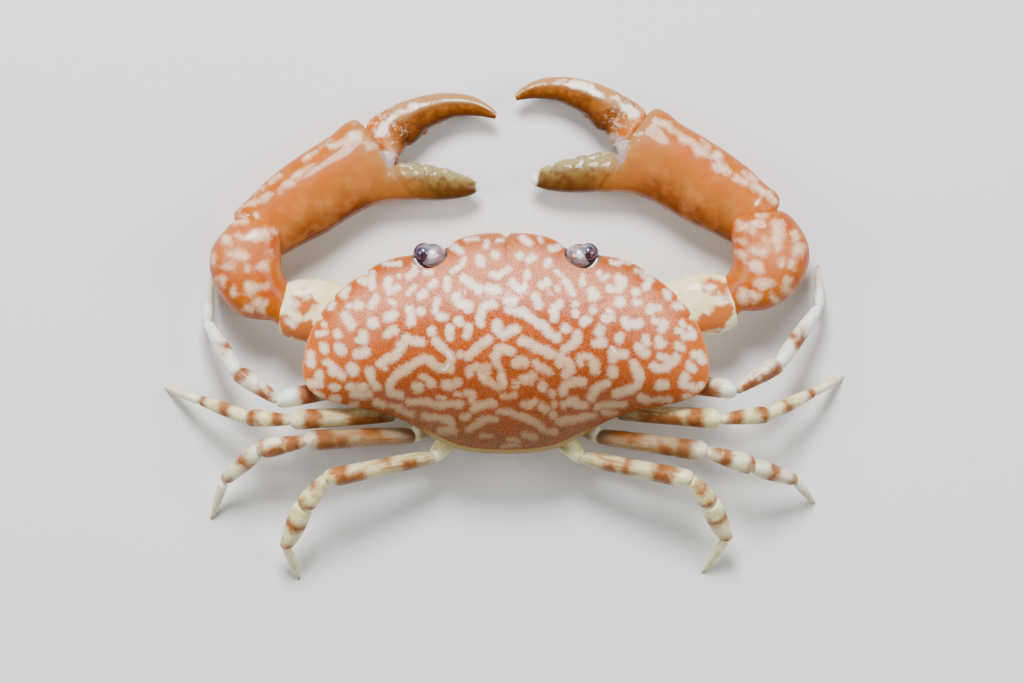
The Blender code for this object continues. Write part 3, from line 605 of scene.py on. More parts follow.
# %% The shell's pattern
SHELL_STROKES = """
3,384,264,391,264,399,263 4,371,274,371,280,372,286 4.3,361,278,365,282 4.8,345.5,289,344,294
4.2,331.5,304,330,306.5 3,348,306,351,306 4.2,357.5,305,360.5,305 4.6,345,315,349,321,352,326
6.2,372.8,322.5,373,323 4.3,376,298,373,303,371,306 4,389,280,387.5,286,390,291 3.5,390,291,397,288
2.6,399,276,399,276.5 3.5,391,302,394,303 5,388,317,393,315 4,387,336,391,331,395,330 5.6,363.5,336,364,339
3.5,358.5,340,360,340 4.8,337.5,334,338,334.5 3.6,318,333.5,325,333 2.8,323,323.5,324,324
3.6,415,266,414,272,409,277 2.8,426,272,431,272.5 3,465,259,460,266,453,272 3.8,453,246,458,250,461,251
2.6,466,240,473,239,478,238 4.6,480,258.5,480.5,263 2.6,487.5,242,485.5,247 4,494,255,496,256
2,498,240,503,240 3.4,492,274,499,276,503,272,508,269 4.5,464,279,468,281,473,286,479,289
4.6,490,288,497,290 4,447.5,279,447,289 3.6,434.5,281.5,431.5,286 2.6,415,286.5,411,290 2.2,408,292,408,293
3.8,425,292.5,421,296 3.5,437.5,300,436,307,435,312 5,440,316,444,317 5.2,456,298,460,302,468,306
4.4,468,309,468,310 4.6,494,305,487,304,482,309,480,317,481,323 5.2,411,311,411,322 4.4,421,311,421.5,312
4.6,458.5,320.5,460,323 4.8,468.5,327,467,335 4.4,450.5,328,450.5,337 5,432,330.5,432,331.5
4.8,497,324,497,330,503,335,509,332.5,516,329 4.8,310,355,311,364 4.8,324,346.5,324.5,349.5
5,339.5,347,342,352 5.3,357,354,363,353,366,352 6.3,351,368,353.5,370 4,326.5,362,331,364
5.8,333.5,369,334,372 4.4,340,374,342.5,376 3.5,332,387,337.5,387 4.6,319.5,374,319.5,384,309,384
3.5,315.5,393.5,321.5,396.5 4.2,332.5,399,337,399 3.5,352,405,356,404 4.8,370.5,371.5,371.5,378
4.3,372,380,377,387 4.3,350,387,353.5,389 5.3,362,388,363,388 5,355,394,362,395 4.5,362,395,369,395
4.5,380,364,385,361 5.5,387,359,395,357,400,350,403,345 3.2,384,366,385,368
4.6,409,366,401,372,394,379,389.5,386,391,392 4.8,392,393,400,395 3.8,376,402.5,384,405
2.6,391,406,399,407 3.2,398,409.5,406,413,412,415 5,407,338,413,341,421,342
4.3,436,341,442,347,450,354,452,359,449,365 4.6,403,372,414,363.5,424,358.5,430,361,436,366,443,369,450,369
3.4,459,354.5,465,355 4.5,468,356,474,351,480,346,488,341,489,338
4.5,512,352,507,349.5,502,348,498,350,495,356,497,363,501,370,501,378,503,385,498,387
4.2,498,387,491,383,485,380,481,375 4.6,481,372,476,367,470,370,470,374 4.4,482,369,487,367,486,372
5.4,416.5,387,419,387 3.6,422,377,426,378 5.2,430.5,382,432,384 5.5,446.5,385,449,385.5
4.8,455,384,457.5,382 2.6,457,394,460,395 3.6,467,393,472,393 3.6,472,393,472,400
4,475,404,479,407,474,409.5 4.8,481,406,487,404,493,403.5 4,409,402,418,401,430,403
3.8,430,403,442,405,452,404,461,404.5 2.2,438,398,444,398 3.6,424,416.5,432,418,440,418.5
4.6,443,419,450,420.5,452,424 3.8,452,424,452,429 4,441,431,448,430.5,455,431 4,463,417,467.5,416.5
3.8,469,430,475,425,482,420.5,490,418.5,496,419.5 3.2,503,396,511,396,515,395 2.4,482,436,492,437
2.8,509,439,518,441 3.6,522.5,238,525,240,529,243 2.4,540,238.5,541.5,241 3.6,551,249,557,248,562,243.5
4,519.5,255,520.5,257 4.4,529,260,533,257.5 4,548.5,261.5,547,265 3.9,526.8,273,526.8,276.5
4,512,282,515,286,518,289,523,288,525,285 4.2,541,285,547,281.5 2.6,556,271,561,276
3.6,564,280,568,284,570,289,573,293 3.2,556.8,288,557,288.5 3.8,581.8,282.5,582,283 2.2,583,275,582,278
5.5,591,292,594,296 2.8,599,273,602,279,607,276.5 5,508.5,300.5,513,301 4.4,535.5,296.5,536,300
5.2,537.5,302,539,305 4.6,560,304,556,308 5.6,554,313,554,316 3.8,574.8,304,575,304.5 4.8,575,313.5,575,314
4.4,592.5,309.5,593,310 4.6,584,322,587.5,320 4,508,310,516,312
5.2,516,312,524,312,530,318,537,322,544,327,550,334,557,338 4.9,565.2,328,565.5,328.5
4.8,577,334,577,341,571,346,566,349 3,564,351,561,354 5,560,357,561,364 5,565,360,570,366,570,371,566,375
4.8,601,329.5,599,333 5.2,596,343,602,342 3,612,262.5,618,264,622,262 2.6,620,261,628,262
2.4,636,271,637,271.5 3.2,642,272,645,276 4.4,650,279,648,283,645,287
4.6,618,278,622,281,622,285,617,289,610,288.5 4.6,635.8,291.5,636,292 4.4,636.5,302,638.5,302.5
5.4,618.5,302.5,620.5,302 4.6,651,307.5,650,310.5 3.8,656,308,659,308 4.3,667,292,668.5,296.5
4,675,306.5,680,305.5 3.6,682,323,684,327 3.5,690,329,691,330 4.6,685,336,693,335 3,676,331,683,332
3.4,653,321,657,321.5 5.2,663.5,324,662,328 4.8,625.5,320.5,628,326 4.8,633,324,639,323.5
3.8,609.5,312,610,313 4.6,604.5,318.5,611,317.5 5.2,619.3,337.5,619,339 5,645,339,646,343
4.8,638,347,640,350 4.4,642,353,646,353.5 4.8,659,340,662,344,660,345 4,677,345,681,347.5 6,612.5,352,613,357
5,618,354,624,354 5.2,634,364,637,371,639.5,378,637,385,630,389,623,392,617,393.5 5.8,612.5,371,613,373
5,654,366,657,368 4,660,356.5,665,358,668,361 4.6,660,369,667,367,672,362 4.2,672,362,677,358,676,356
5.4,659.5,385,664.5,385 4.3,689,365.5,693,368.5 4.6,695,355,700,355 4,700,358,702.5,361
5,685,377,683,383,686,386 4.4,686,386,692,386.5 4.6,696,388,700,386 3,685,397,689,397 5,641,398,646,400
3,650,400,660,399.5,670,400 3.6,597,407,606,405,616,404.5,624,404.5 3,604,413,615,413
5,523,341,530,344,538,348,546,351,551,354 4,580,363,580,358,585,356,590,357 5.3,593.5,362,594.5,370
4.8,563,392,564,386,571,383,579,381.5,583,382.5 5.2,591,397,595,390,599,386,606,384
4.2,535,363,538,367,543,368,549,372 5.2,516,363,520,361.5,525,363 5.6,524,379,529,379 4.6,532,375,531,381
2.6,513,382,517,382.5 2.2,513,387,517,387 4.4,543,384,544,388 4,551.5,393.5,552,394
3.6,553.5,404.3,554,404.5 4.5,564,405,571,403,578,405,584,405 3.6,570,400,576,400 3.8,524,404,530,404,535,402
4,542,407,545,409 4,552,414.5,554,415 3.4,500,411.5,510,412.5,520,415.5 4.4,520,416,529,419.5,536,423,541,428
3.6,541,428,547,432,555,432.5 4.2,559,422,566,420,575,419.5 3.6,575,419.5,585,417,594,416 4,526,435,534,437
2.4,503,446.5,518,445.5
"""
# Small painted highlights where light catches the edges of the furrows
GLINT_STROKES = """
0.9,447,351,450,354,451,358 0.8,443,370,447,368,449,364 0.9,611,346,616,353 0.7,398,351,401,348
"""

NOTCH_PATH = ((0.05, -11.5), (0.0, -9.6), (0.03, -8.5))
shell_strokes = read_strokes(SHELL_STROKES)
places = mesh_points(shell_mesh)
x, y, z = places.T
margin_height = np.interp(y, *zip(*MARGIN_HEIGHT_KEYS))
orbit_depth = np.linalg.norm((np.stack([abs(x), y, z], 1) - ORBIT) / ORBIT_RADII, axis=1)
edge = outline + outline_nicks
rim_distance = distance_to(places[:, :2], [*edge, edge[0]])
side_reach = abs(x) / CARAPACE_HALF_WIDTH
flush_edge = 3.4 * side_reach**1.5 - 3.0
shell_values = {
    "mark": depth_in_strokes(places, shell_strokes),
    # Where the small painted highlights lie
    "painted_glint": depth_in_strokes(places, read_strokes(GLINT_STROKES), wobble=0),
    # A dark line along the midline furrow, painted shade
    "notch": ramp(distance_to(places[:, :2], NOTCH_PATH), 0.14, 0),
    # The finish darkens the shell towards the rear from this, as painted shade of the rear slope
    "back": ramp(y, -11, 11),
    # The finish brightens the sides from this, as painted light
    "side": ramp(side_reach, 0.48, 0.90) * ramp(y, 6.5, 2.5),
    "rim": ramp(rim_distance, 0.9, 0),
    "under": ramp(z, margin_height - 0.12, margin_height - 0.42),
    # Where the pink painted sheen lies on the front half of the shell
    "flush": ramp(y, flush_edge, flush_edge - 2.4) * ramp(rim_distance, 0.7, 2.0) * (z > 8),
    "stain": bell(np.hypot((x + 0.2) / 5.2, (y - 3.9) / 2.2), 1),
    # The socket's inside, which the finish darkens with depth as painted shade
    "socket": ramp(orbit_depth, 1.10, 1.01) * (z > 5),
    "depth": ramp(z, 10.4, 8.8),
}
paint_values(shell_mesh, **shell_values)
print("strokes on the shell:", len(shell_strokes))

# %% [markdown]
# ## The shell's finish
# Wet shell is a thin clear skin over a coloured, finely granular one. The colour runs from bright orange
# at the front to brown behind, a darkening that is painted shade of the rear slope, and the pale strokes
# lie in it with slightly ragged edges. A pink painted sheen lies on the front half, and painted light
# brightens the sides. Grains a sixth of a millimetre apart break up the shine. They are too small and
# too many to model, so they are a bump here. The coarser ones, which catch the light one by one, are
# modelled in the next step.

# %% Shell finish
def shell_finish():
    paint = Finish("shell_orange", roughness=0.42, coat=0.2, coat_roughness=0.14, specular=0.14, subsurface=0.03)
    rise, value, patches = paint.rise, paint.value, paint.patches
    back, side, rim, flush = value("back"), value("side"), value("rim"), value("flush")
    grains = rise(paint.cells(0.17), 0.62, 0.12)
    speckle = patches(0.16, 0.35, 0.7, 2.0)
    clouds = paint.noise(2.2)
    stain = value("stain") * patches(1.1, 0.3, 0.62, 4.0)
    ragged = paint.wobble(0.32, 0.62, 4.0, 0.7) + paint.wobble(0.95, 0.42)
    mark = value("mark") + ragged + (grains - 0.5) * 0.10
    pale = rise(mark, -0.24, 0.20)
    ground = paint.layers(
        (190, 92, 0),
        # Darker towards the rear: painted shade of the rear slope
        (rise(back, 0.02, 0.16), (179, 75, 0)),
        (rise(back, 0.40, 0.66), (153, 61, 0)),
        (rise(back, 0.68, 0.94), (104, 60, 14)),
        ((1 - speckle) * 0.30, (184, 98, 24)),
        (rise(clouds, 0.45, 0.75) * 0.45, (156, 58, 0)),
        # Brighter orange on the sides: painted light
        (side * 0.6, (214, 102, 0)),
        # A pink painted sheen on the front half
        (flush * 0.55, (236, 150, 118)),
        # Pale grain tops, strongest in the sheen: painted glints
        (grains * (0.12 + flush * 0.36), (246, 196, 168)),
        (stain * 0.5, (156, 74, 24)),
    )
    light_mark = paint.layers(
        (255, 240, 224),
        # The marks darken towards the rear too, as painted shade
        (rise(back, 0.30, 0.62), (226, 190, 148)),
        (rise(back, 0.66, 0.95), (156, 130, 96)),
        (patches(0.6, 0.45, 0.75) * 0.3, (230, 164, 108)),
        # Brighter marks on the sides: painted light
        (side * 0.7, (255, 240, 214)),
        (stain * 0.55, (176, 104, 66)),
    )
    belly = paint.layers((240, 208, 160), (rise(clouds, 0.4, 0.7), (222, 140, 78)))
    # The socket's inside darkens with depth: painted shade
    socket = paint.layers((190, 120, 70), (value("depth"), (92, 58, 40)))
    paint.colour(
        ground,
        (pale * 0.74 + rise(mark, 0.0, 0.55) * 0.22, light_mark),
        (rise(back, 0.86, 0.93) * rise(rim, 0.45, 0.62) * 0.6, (176, 162, 98)),
        # A painted highlight along the front and side rim
        (rise(rim, 0.72, 0.9) * (1 - rise(back, 0.70, 0.8)) * 0.4, (227, 158, 93)),
        (value("under"), belly),
        (value("socket"), socket),
        # A dark line in the midline furrow: painted shade
        (rise(value("notch"), 0.2, 0.9) * 0.75, (150, 84, 40)),
        # Small painted highlights at the furrow edges
        (rise(value("painted_glint"), -0.05, 0.05) * 0.85, (250, 246, 244)),
    )
    paint.rough(0.34 + 0.18 * speckle + 0.05 * pale)
    paint.bump(grains * 0.9 + paint.noise(0.4, 4.0) * 0.5 + pale * 0.25, 0.03, 0.9)
    return paint


shell_paint = shell_finish()
finish_shell("carapace", shell_mesh, shell_paint, "shell")
print("pieces so far:", len(made_pieces))

# %% [markdown]
# ## Grains on the shell
# Close up, the front and the sides of the shell carry thousands of low grains. They follow a surface, so
# Geometry Nodes scatters them: points at least one grain apart, a small six-sided bead on each, then all
# of it made real. The points copy the shell's stored numbers, so each grain has the colour of its place.

# %% A Geometry Nodes tree with named sizes
class Growth(Graph):
    """Repeats a small shape along a path or over a surface."""

    def __init__(self, name):
        super().__init__(bpy.data.node_groups.new(name, "GeometryNodeTree"))
        self.tree.interface.new_socket("Geometry", in_out="OUTPUT", socket_type="NodeSocketGeometry")
        self.entry = self.tree.nodes.new("NodeGroupInput")
        self.sockets = {}
        self.base = self.size("Geometry", "Geometry")

    def size(self, name, kind="Float"):
        socket = self.tree.interface.new_socket(name, in_out="INPUT", socket_type="NodeSocket" + kind)
        self.sockets[name] = socket.identifier
        return Wire(self, self.entry.outputs[name])

    def close(self, instances, finish):
        real = self.node("GeometryNodeRealizeInstances", sockets={0: instances})
        real = self.node("GeometryNodeSetMaterial", sockets={"Geometry": real, "Material": finish})
        self.tree.links.new(real.socket, self.tree.nodes.new("NodeGroupOutput").inputs[0])

    def grow(self, mesh, sizes):
        """The plain mesh that this tree makes out of a base mesh."""
        holder = placed("growing", mesh)
        modifier = holder.modifiers.new("growth", "NODES")
        modifier.node_group = self.tree
        for name, value in sizes.items():
            modifier[self.sockets[name]] = value
        grown = modified(holder)
        grown.shade_smooth()
        return grown


print("a tree takes its sizes by name")

# %% Scatter the grains
GRAIN_SPACING, GRAIN_RADIUS, GRAIN_RISE, GRAIN_SEED = 0.20, 0.09, 0.014, 7
GRAIN_CROWDING, GRAIN_SHARES = 2.4, (0.65, 1.2)
grain_tree = Growth("shell_grain_scatter")
spacing, radius = grain_tree.size("Spacing"), grain_tree.size("Grain radius")
rise, seed = grain_tree.size("Grain height"), grain_tree.size("Seed", "Int")
grain_finish = grain_tree.size("Finish", "Material")
amount = grain_tree.node("GeometryNodeInputNamedAttribute", {"data_type": "FLOAT"}, {"Name": "grit"})
scatter = {
    "Mesh": grain_tree.base, "Distance Min": spacing, "Density Factor": amount, "Seed": seed,
    "Density Max": GRAIN_CROWDING / (GRAIN_SPACING * MM) ** 2,
}
spread = {"distribute_method": "POISSON"}
points = grain_tree.node("GeometryNodeDistributePointsOnFaces", spread, scatter, "Points")
facing = Wire(grain_tree, points.socket.node.outputs["Rotation"])
bead = grain_tree.node("GeometryNodeMeshUVSphere", sockets={"Segments": 6, "Rings": 2, "Radius": 1.0})
shares = {2: GRAIN_SHARES[0], 3: GRAIN_SHARES[1], "Seed": seed}
share = grain_tree.node("FunctionNodeRandomValue", {"data_type": "FLOAT"}, shares, 1)
scale = grain_tree.node("ShaderNodeCombineXYZ", sockets={0: share * radius, 1: share * radius, 2: share * rise})
beads = {"Points": points, "Instance": bead, "Rotation": facing, "Scale": scale}
grain_tree.close(grain_tree.node("GeometryNodeInstanceOnPoints", sockets=beads), grain_finish)

# Dense in front, thin behind, and none on the underside, in the sockets or on the pale marks
toward_front = np.clip(0.35 + 0.65 * (-y / 8), 0.12, 1)
bare = (z <= margin_height + 0.25) | (shell_values["mark"] >= 0.05)
paint_values(shell_mesh, grit=toward_front * ~bare * ramp(orbit_depth, 1.15, 1.25))
grain_mesh = grain_tree.grow(shell_mesh.copy(), {
    "Spacing": GRAIN_SPACING * MM, "Grain radius": GRAIN_RADIUS * MM, "Grain height": GRAIN_RISE * MM,
    "Seed": GRAIN_SEED, "Finish": shell_paint.material,
})
finish_piece("carapace_grains", grain_mesh, shell_paint, "shell")
print("grain points:", len(grain_mesh.vertices))

# %% [markdown]
# ## The underside
# Below the shell lies the sternum, five plates on each side with a furrow between each pair, and the
# tail is folded forward under it in seven rings. They hardly show from above, but any view from the
# side or below needs them.

# %% Sternum
STERNUM_LEVEL, THORAX_ROWS = 2.5, 60
# The groove for the tail: depth, the ramp of its side, its front end and its share of the plates
ABDOMEN_GROOVE, GROOVE_SIDE, GROOVE_FRONT, GROOVE_SHARE = 0.6, (3.4, 2.2), -2.4, 0.9
PLATE_FURROWS = (-4.6, -2.0, 0.8, 3.6, 6.0)
FURROW_DEPTH, FURROW_REACH, FURROW_SLANT = 0.18, 0.2, 0.16
FURROW_ENDS, FURROW_TOP = (2.6, 3.8), 1.6
THORAX_KEYS = ((0.2, 0.0), (0.38, 0.0), (0.62, -0.02), (0.8, 0.1), (0.93, 0.75), (0.99, 1.8), (1.0, 3.1))
THORAX_MIDDLE = np.array([0.0, 0.6])


def thorax_rings():
    wall = wall_ring(outline[::2])
    rings = []
    for share, level in finer(THORAX_KEYS, THORAX_ROWS):
        flat = THORAX_MIDDLE + (wall - THORAX_MIDDLE) * share
        out, y = abs(flat[:, 0]), flat[:, 1]
        groove = ABDOMEN_GROOVE * ramp(out, *GROOVE_SIDE) * (y > GROOVE_FRONT) * (share < GROOVE_SHARE)
        height = STERNUM_LEVEL + level + groove
        for furrow in PLATE_FURROWS:
            line = y - furrow - FURROW_SLANT * out * np.sign(furrow)
            shown = ramp(out, *FURROW_ENDS) * (level < FURROW_TOP)
            height = height + FURROW_DEPTH * shown * bell(line, FURROW_REACH)
        rings.append(np.column_stack([flat, height]))
    return rings


thorax_mesh = skin("sternum", thorax_rings(), start=(*THORAX_MIDDLE, STERNUM_LEVEL + ABDOMEN_GROOVE))
print("sternum:", len(thorax_mesh.vertices), "points")

# %% Underside finish
def cream_finish(name, light, warm, shade, roughness=0.4):
    """Pale shell with warm clouds, shaded pits and fine grain."""
    paint = Finish(name, roughness=roughness, coat=0.25, coat_roughness=0.25, subsurface=0.08)
    pits = paint.rise(paint.cells(0.35), 0.28, 0.02)
    paint.colour(light, (paint.patches(1.8, 0.42, 0.68, 4.0) * 0.7, warm), (pits * 0.3, shade))
    paint.rough(roughness + paint.wobble(0.5, 0.18))
    paint.bump(paint.noise(0.25, 4.0) + pits * 0.5, 0.02, 0.7)
    return paint


sternum_paint = cream_finish("sternum_cream", (244, 230, 200), (232, 192, 140), (176, 128, 84))
finish_piece("sternum_plates", thorax_mesh, sternum_paint, "underside", ["thorax"])
print("sternum finish has", len(sternum_paint.tree.nodes), "nodes")

# %% Folded tail
ABDOMEN_PATH = (
    (10.05, 5.2, 3.3), (10.15, 4.6, 3.4), (9.75, 3.6, 3.25), (8.8, 2.7, 2.85), (7.2, 2.35, 2.4), (5.2, 2.3, 1.95),
    (3.0, 2.3, 1.6), (1.0, 2.3, 1.3), (-0.6, 2.3, 0.9), (-1.5, 2.35, 0.35),
)
ABDOMEN_THICKNESS = 0.38
EDGE_THINNING = 0.75
TAIL_RINGS, TAIL_SIDES, TAIL_ROWS = 7, 25, 140
SEAM, WAIST = (0.45, 0.05), (0.05, 0.07)  # how much thinner and narrower, and over what reach


def abdomen_rings():
    across = np.sin(np.linspace(-math.pi / 2, math.pi / 2, TAIL_SIDES))
    bulge = ABDOMEN_THICKNESS * (1 - across**4 * EDGE_THINNING)
    path = finer(ABDOMEN_PATH, TAIL_ROWS)
    walk = np.linspace(0, TAIL_RINGS, len(path))
    from_seam = walk - np.round(walk)
    seam, waist = (1 - loss * bell(from_seam, reach) for loss, reach in (SEAM, WAIST))
    runs = unit(np.gradient(path[:, :2], axis=0))
    rings = []
    for (y, z, half), (run_y, run_z), thin, narrow in zip(path, runs, seam, waist):
        outer = [(x * half * narrow, y - run_z * b * thin, z + run_y * b * thin) for x, b in zip(across, bulge)]
        inner = [(x * half * narrow, y + run_z * b, z - run_y * b) for x, b in zip(across[::-1], bulge[::-1])]
        rings.append(np.array(outer + inner[1:-1]))
    return rings


tail_paint = cream_finish("tail_cream", (240, 220, 182), (224, 176, 122), (166, 116, 74))
finish_piece("tail_plates", skin("tail", abdomen_rings()), tail_paint, "underside", ["abdomen"])
print("tail rings:", TAIL_RINGS)

# %% [markdown]
# ## The mouth and the feelers
# Two flat outer jaws close the mouth like a pair of doors. Each has a cross seam, a bevelled inner edge
# and a short three-part feeler on top. The antennae are thin ringed whips tucked under the front.

# %% Outer jaws
def frames_along(points):
    """Unit direction, side and top at each point of a centre line."""
    along = unit(np.gradient(np.asarray(points, float), axis=0))
    side = unit(np.cross((0, 0, 1.0), along))
    return along, side, np.cross(along, side)


def round_tube(name, line, radii, depth, sides=16):
    """A round, capped skin around a centre line."""
    _, side, top = frames_along(line)
    across, up = section(sides, 2)
    rings = [p + r * (across[:, None] * s + up[:, None] * t) for p, r, s, t in zip(line, radii, side, top)]
    return capped_skin(name, rings, depth)


MAXILLIPED = (1.75, -8.05, 4.0)
MAXILLIPED_SIZE = (1.6, 2.1, 0.45)
MAXILLIPED_TILT = math.radians(-58)
JAW_PROFILE = (
    (-1, 0.5), (-0.9, 0.82), (-0.5, 1.0), (-0.05, 1.0), (0.45, 0.94), (0.75, 0.76), (0.92, 0.5), (1, 0.22),
)
JAW_BRANCH = ((3.5, -8.5, 5.3, 0.22), (3.62, -8.35, 4.5, 0.36), (3.45, -7.75, 3.4, 0.4), (2.9, -6.9, 2.5, 0.3))
JAW_SIDES, JAW_SQUARENESS, JAW_ROWS, BRANCH_ROWS = 36, 2.7, 70, 60
SEAM_DEPTH, SEAM_REACH, UPPER_BULGE = 0.10, 0.035, 0.12


def jaw_rings(side):
    x, y, z = MAXILLIPED
    half_width, half_length, half_thick = MAXILLIPED_SIZE
    cos, sin = math.cos(MAXILLIPED_TILT), math.sin(MAXILLIPED_TILT)
    across, up = section(JAW_SIDES, JAW_SQUARENESS)
    rings = []
    for along, share in finer(JAW_PROFILE, JAW_ROWS):
        seam = 1 - SEAM_DEPTH * bell(along, SEAM_REACH)
        thick = up * half_thick * share * seam * (1 + UPPER_BULGE * (along > 0))
        lean = along * half_length
        flat = x * side + across * half_width * share * seam
        rings.append(np.column_stack([flat, y + lean * cos - thick * sin, z + lean * sin + thick * cos]))
    return rings


jaw_paint = cream_finish("jaw_cream", (226, 184, 134), (202, 118, 58), (140, 84, 48), 0.36)
for side_name, side in SIDES.items():
    mesh = capped_skin("jaw", jaw_rings(side), 0.08)
    finish_piece(f"jaw_{side_name}", mesh, jaw_paint, "mouthparts", [f"maxilliped_{side_name}"])
    line = finer(JAW_BRANCH * np.array([side, 1, 1, 1]), BRANCH_ROWS)
    mesh = round_tube("branch", line[:, :3], line[:, 3], 0.1)
    finish_piece(f"jaw_branch_{side_name}", mesh, jaw_paint, "mouthparts")
print("jaws tilt", round(math.degrees(MAXILLIPED_TILT)), "degrees")

# %% Antennae
ANTENNA = (
    (4.4, -8.6, 7.0, 0.42), (5.2, -9.0, 6.55, 0.34), (6.5, -8.9, 6.5, 0.26), (8.0, -8.3, 6.55, 0.18),
    (9.3, -7.7, 6.55, 0.11),
)
ANTENNA_RINGS, ANTENNA_ROWS, RING_DEPTH, RING_SHARPNESS = 26, 180, 0.14, 8

antenna_paint = cream_finish("feeler_orange", (206, 142, 88), (166, 96, 44), (112, 64, 30), 0.36)
for side_name, side in SIDES.items():
    line = finer(ANTENNA * np.array([side, 1, 1, 1]), ANTENNA_ROWS)
    waves = np.sin(np.linspace(0, ANTENNA_RINGS * math.pi, ANTENNA_ROWS)) ** RING_SHARPNESS
    mesh = round_tube("antenna", line[:, :3], line[:, 3] * (1 - RING_DEPTH * waves), 0.08)
    finish_piece(f"antenna_whip_{side_name}", mesh, antenna_paint, "mouthparts", [f"antenna_{side_name}"])
print("antenna rings:", ANTENNA_RINGS)

# %% [markdown]
# ## The eyes
# A crab's eye is a short stalk with a domed cornea at its tip. The cornea is glossy and nearly black
# with a violet-blue sheen, and the stalk is a milky, half-clear skin with rusty flecks.

# %% Eye finishes
def cornea_finish():
    """Glossy violet with fine facets, a dark spot behind the top and a milky haze beside it."""
    paint = Finish("cornea_violet", roughness=0.12, coat=0.9, coat_roughness=0.04)
    rise, value, patches = paint.rise, paint.value, paint.patches
    facets, drift = paint.cells(0.09), paint.noise(0.7, 4.0, 0.6)
    milk = paint.layers((160, 164, 194), (patches(0.45, 0.42, 0.6, 4.0), (118, 104, 126)))
    paint.colour(
        (38, 28, 58),
        (rise(drift, 0.38, 0.62), (80, 68, 104)),
        (rise(value("near") + (drift - 0.5) * 0.9, 0.42, 0.95) * 0.85, milk),
        (rise(facets, 0.2, 0.6) * 0.2, (52, 40, 70)),
        (patches(0.45, 0.57, 0.64, 4.0) * 0.6, (142, 78, 40)),
        (rise(value("pupil") + (drift - 0.5) * 2.2, 0.12, 0.58) * 0.92, (44, 20, 30)),
    )
    paint.bump(rise(facets, 0.6, 0.1) * 0.3 + drift * 1.4, 0.03, 0.6)
    return paint


def stalk_finish():
    """Milky grey with a painted highlight on its crown, rusty flecks and a pale rim."""
    paint = Finish("stalk_milky", roughness=0.14, coat=0.9, coat_roughness=0.05, subsurface=0.15)
    gleam = paint.rise(paint.value("crown") + paint.wobble(0.5, 1.2, 4.0), 0.45, 0.75)
    paint.colour(
        (152, 144, 156),
        (paint.patches(0.8, 0.40, 0.62), (114, 100, 112)),
        # A painted highlight on the crown
        (gleam * 0.8, (226, 234, 252)),
        (paint.patches(0.6, 0.56, 0.63, 4.0, 0.6) * 0.85, (166, 92, 30)),
        (paint.value("rim"), (214, 212, 224)),
    )
    paint.bump(paint.noise(0.45, 4.0), 0.10)
    return paint


def lid_finish():
    paint = Finish("eye_lid_pearl", roughness=0.18, coat=0.8, coat_roughness=0.06, subsurface=0.1)
    paint.colour((240, 244, 255), (paint.patches(0.5, 0.4, 0.6), (176, 170, 182)))
    paint.bump(paint.noise(0.3), 0.02, 0.6)
    return paint


cornea_paint, stalk_paint, lid_paint = cornea_finish(), stalk_finish(), lid_finish()
print("eye finishes:", [paint.material.name for paint in (cornea_paint, stalk_paint, lid_paint)])

# %% Eyes
STALK_CENTRE, STALK_RADII = (7.35, -8.9, 9.1), (1.45, 1.25, 1.55)
CORNEA_CENTRE, CORNEA_RADII = (8.25, -9.2, 9.45), (1.02, 1.02, 1.25)
PUPIL_OFFSET, PUPIL_STRETCH = (-0.05, 0.55, 1.0), (1.5, 1.0, 1.0)
LID_CENTRE, LID_RADII, LID_THICKNESS = (7.45, -8.92, 10.15), (1.70, 1.50, 0.25), 0.16
LID_TURNS, LID_ROWS = (12, 176), 60  # degrees round the stalk
EYE_SIDES, EYE_ROWS = 64, 39


def eyeball(name, centre, radii, mirror):
    """A ball, its points seen from its centre on the left eye, and the same as shares of its radii."""
    mesh = ball(name, centre * mirror, radii, EYE_SIDES, EYE_ROWS)
    seen = mesh_points(mesh) * mirror - centre
    return mesh, seen, (seen / radii).T


for side_name, side in SIDES.items():
    mirror = np.array([side, 1, 1])
    mesh, _, (x, y, z) = eyeball("stalk", STALK_CENTRE, STALK_RADII, mirror)
    rim = ramp(abs(np.hypot(x, y) - 0.82), 0.13, 0) * ramp(y, 0.05, 0.35)
    crown = ramp(np.hypot(x + 0.05, y + 0.15), 0.75, 0)
    paint_values(mesh, rim=rim * (z > 0), crown=crown * (z > 0))
    finish_piece(f"eye_stalk_{side_name}", mesh, stalk_paint, "eyes", [f"eye_{side_name}"])

    mesh, seen, (x, y, z) = eyeball("cornea", CORNEA_CENTRE, CORNEA_RADII, mirror)
    from_pupil = np.linalg.norm((seen - PUPIL_OFFSET) * PUPIL_STRETCH, axis=1)
    haze = np.clip(0.5 - 0.55 * x - 0.25 * y, 0, 1) * ramp(z, -0.1, 0.5)
    paint_values(mesh, pupil=ramp(from_pupil, 0.85, 0.15), near=haze)
    finish_piece(f"cornea_{side_name}", mesh, cornea_paint, "eyes")

    turn = np.radians(np.linspace(*LID_TURNS, LID_ROWS))
    arc = LID_CENTRE + np.column_stack([np.cos(turn), np.sin(turn), np.sin(turn)]) * LID_RADII
    mesh = round_tube("lid", arc * mirror, LID_THICKNESS * (0.35 + 0.65 * np.sin(turn) ** 0.5), 0.05)
    finish_piece(f"eye_lid_{side_name}", mesh, lid_paint, "eyes")
print("eye pieces:", [piece.name for piece in made_pieces[-6:]])

# %% [markdown]
# ## The walking legs
# Each of the eight legs has five segments that hinge on soft skin. A segment is a skin over rings whose
# ends lie in the plane it shares with its neighbour, so the joints close well in any pose of the leg.
# The legs are pale with orange-brown bands, noted as shares of each segment's length.

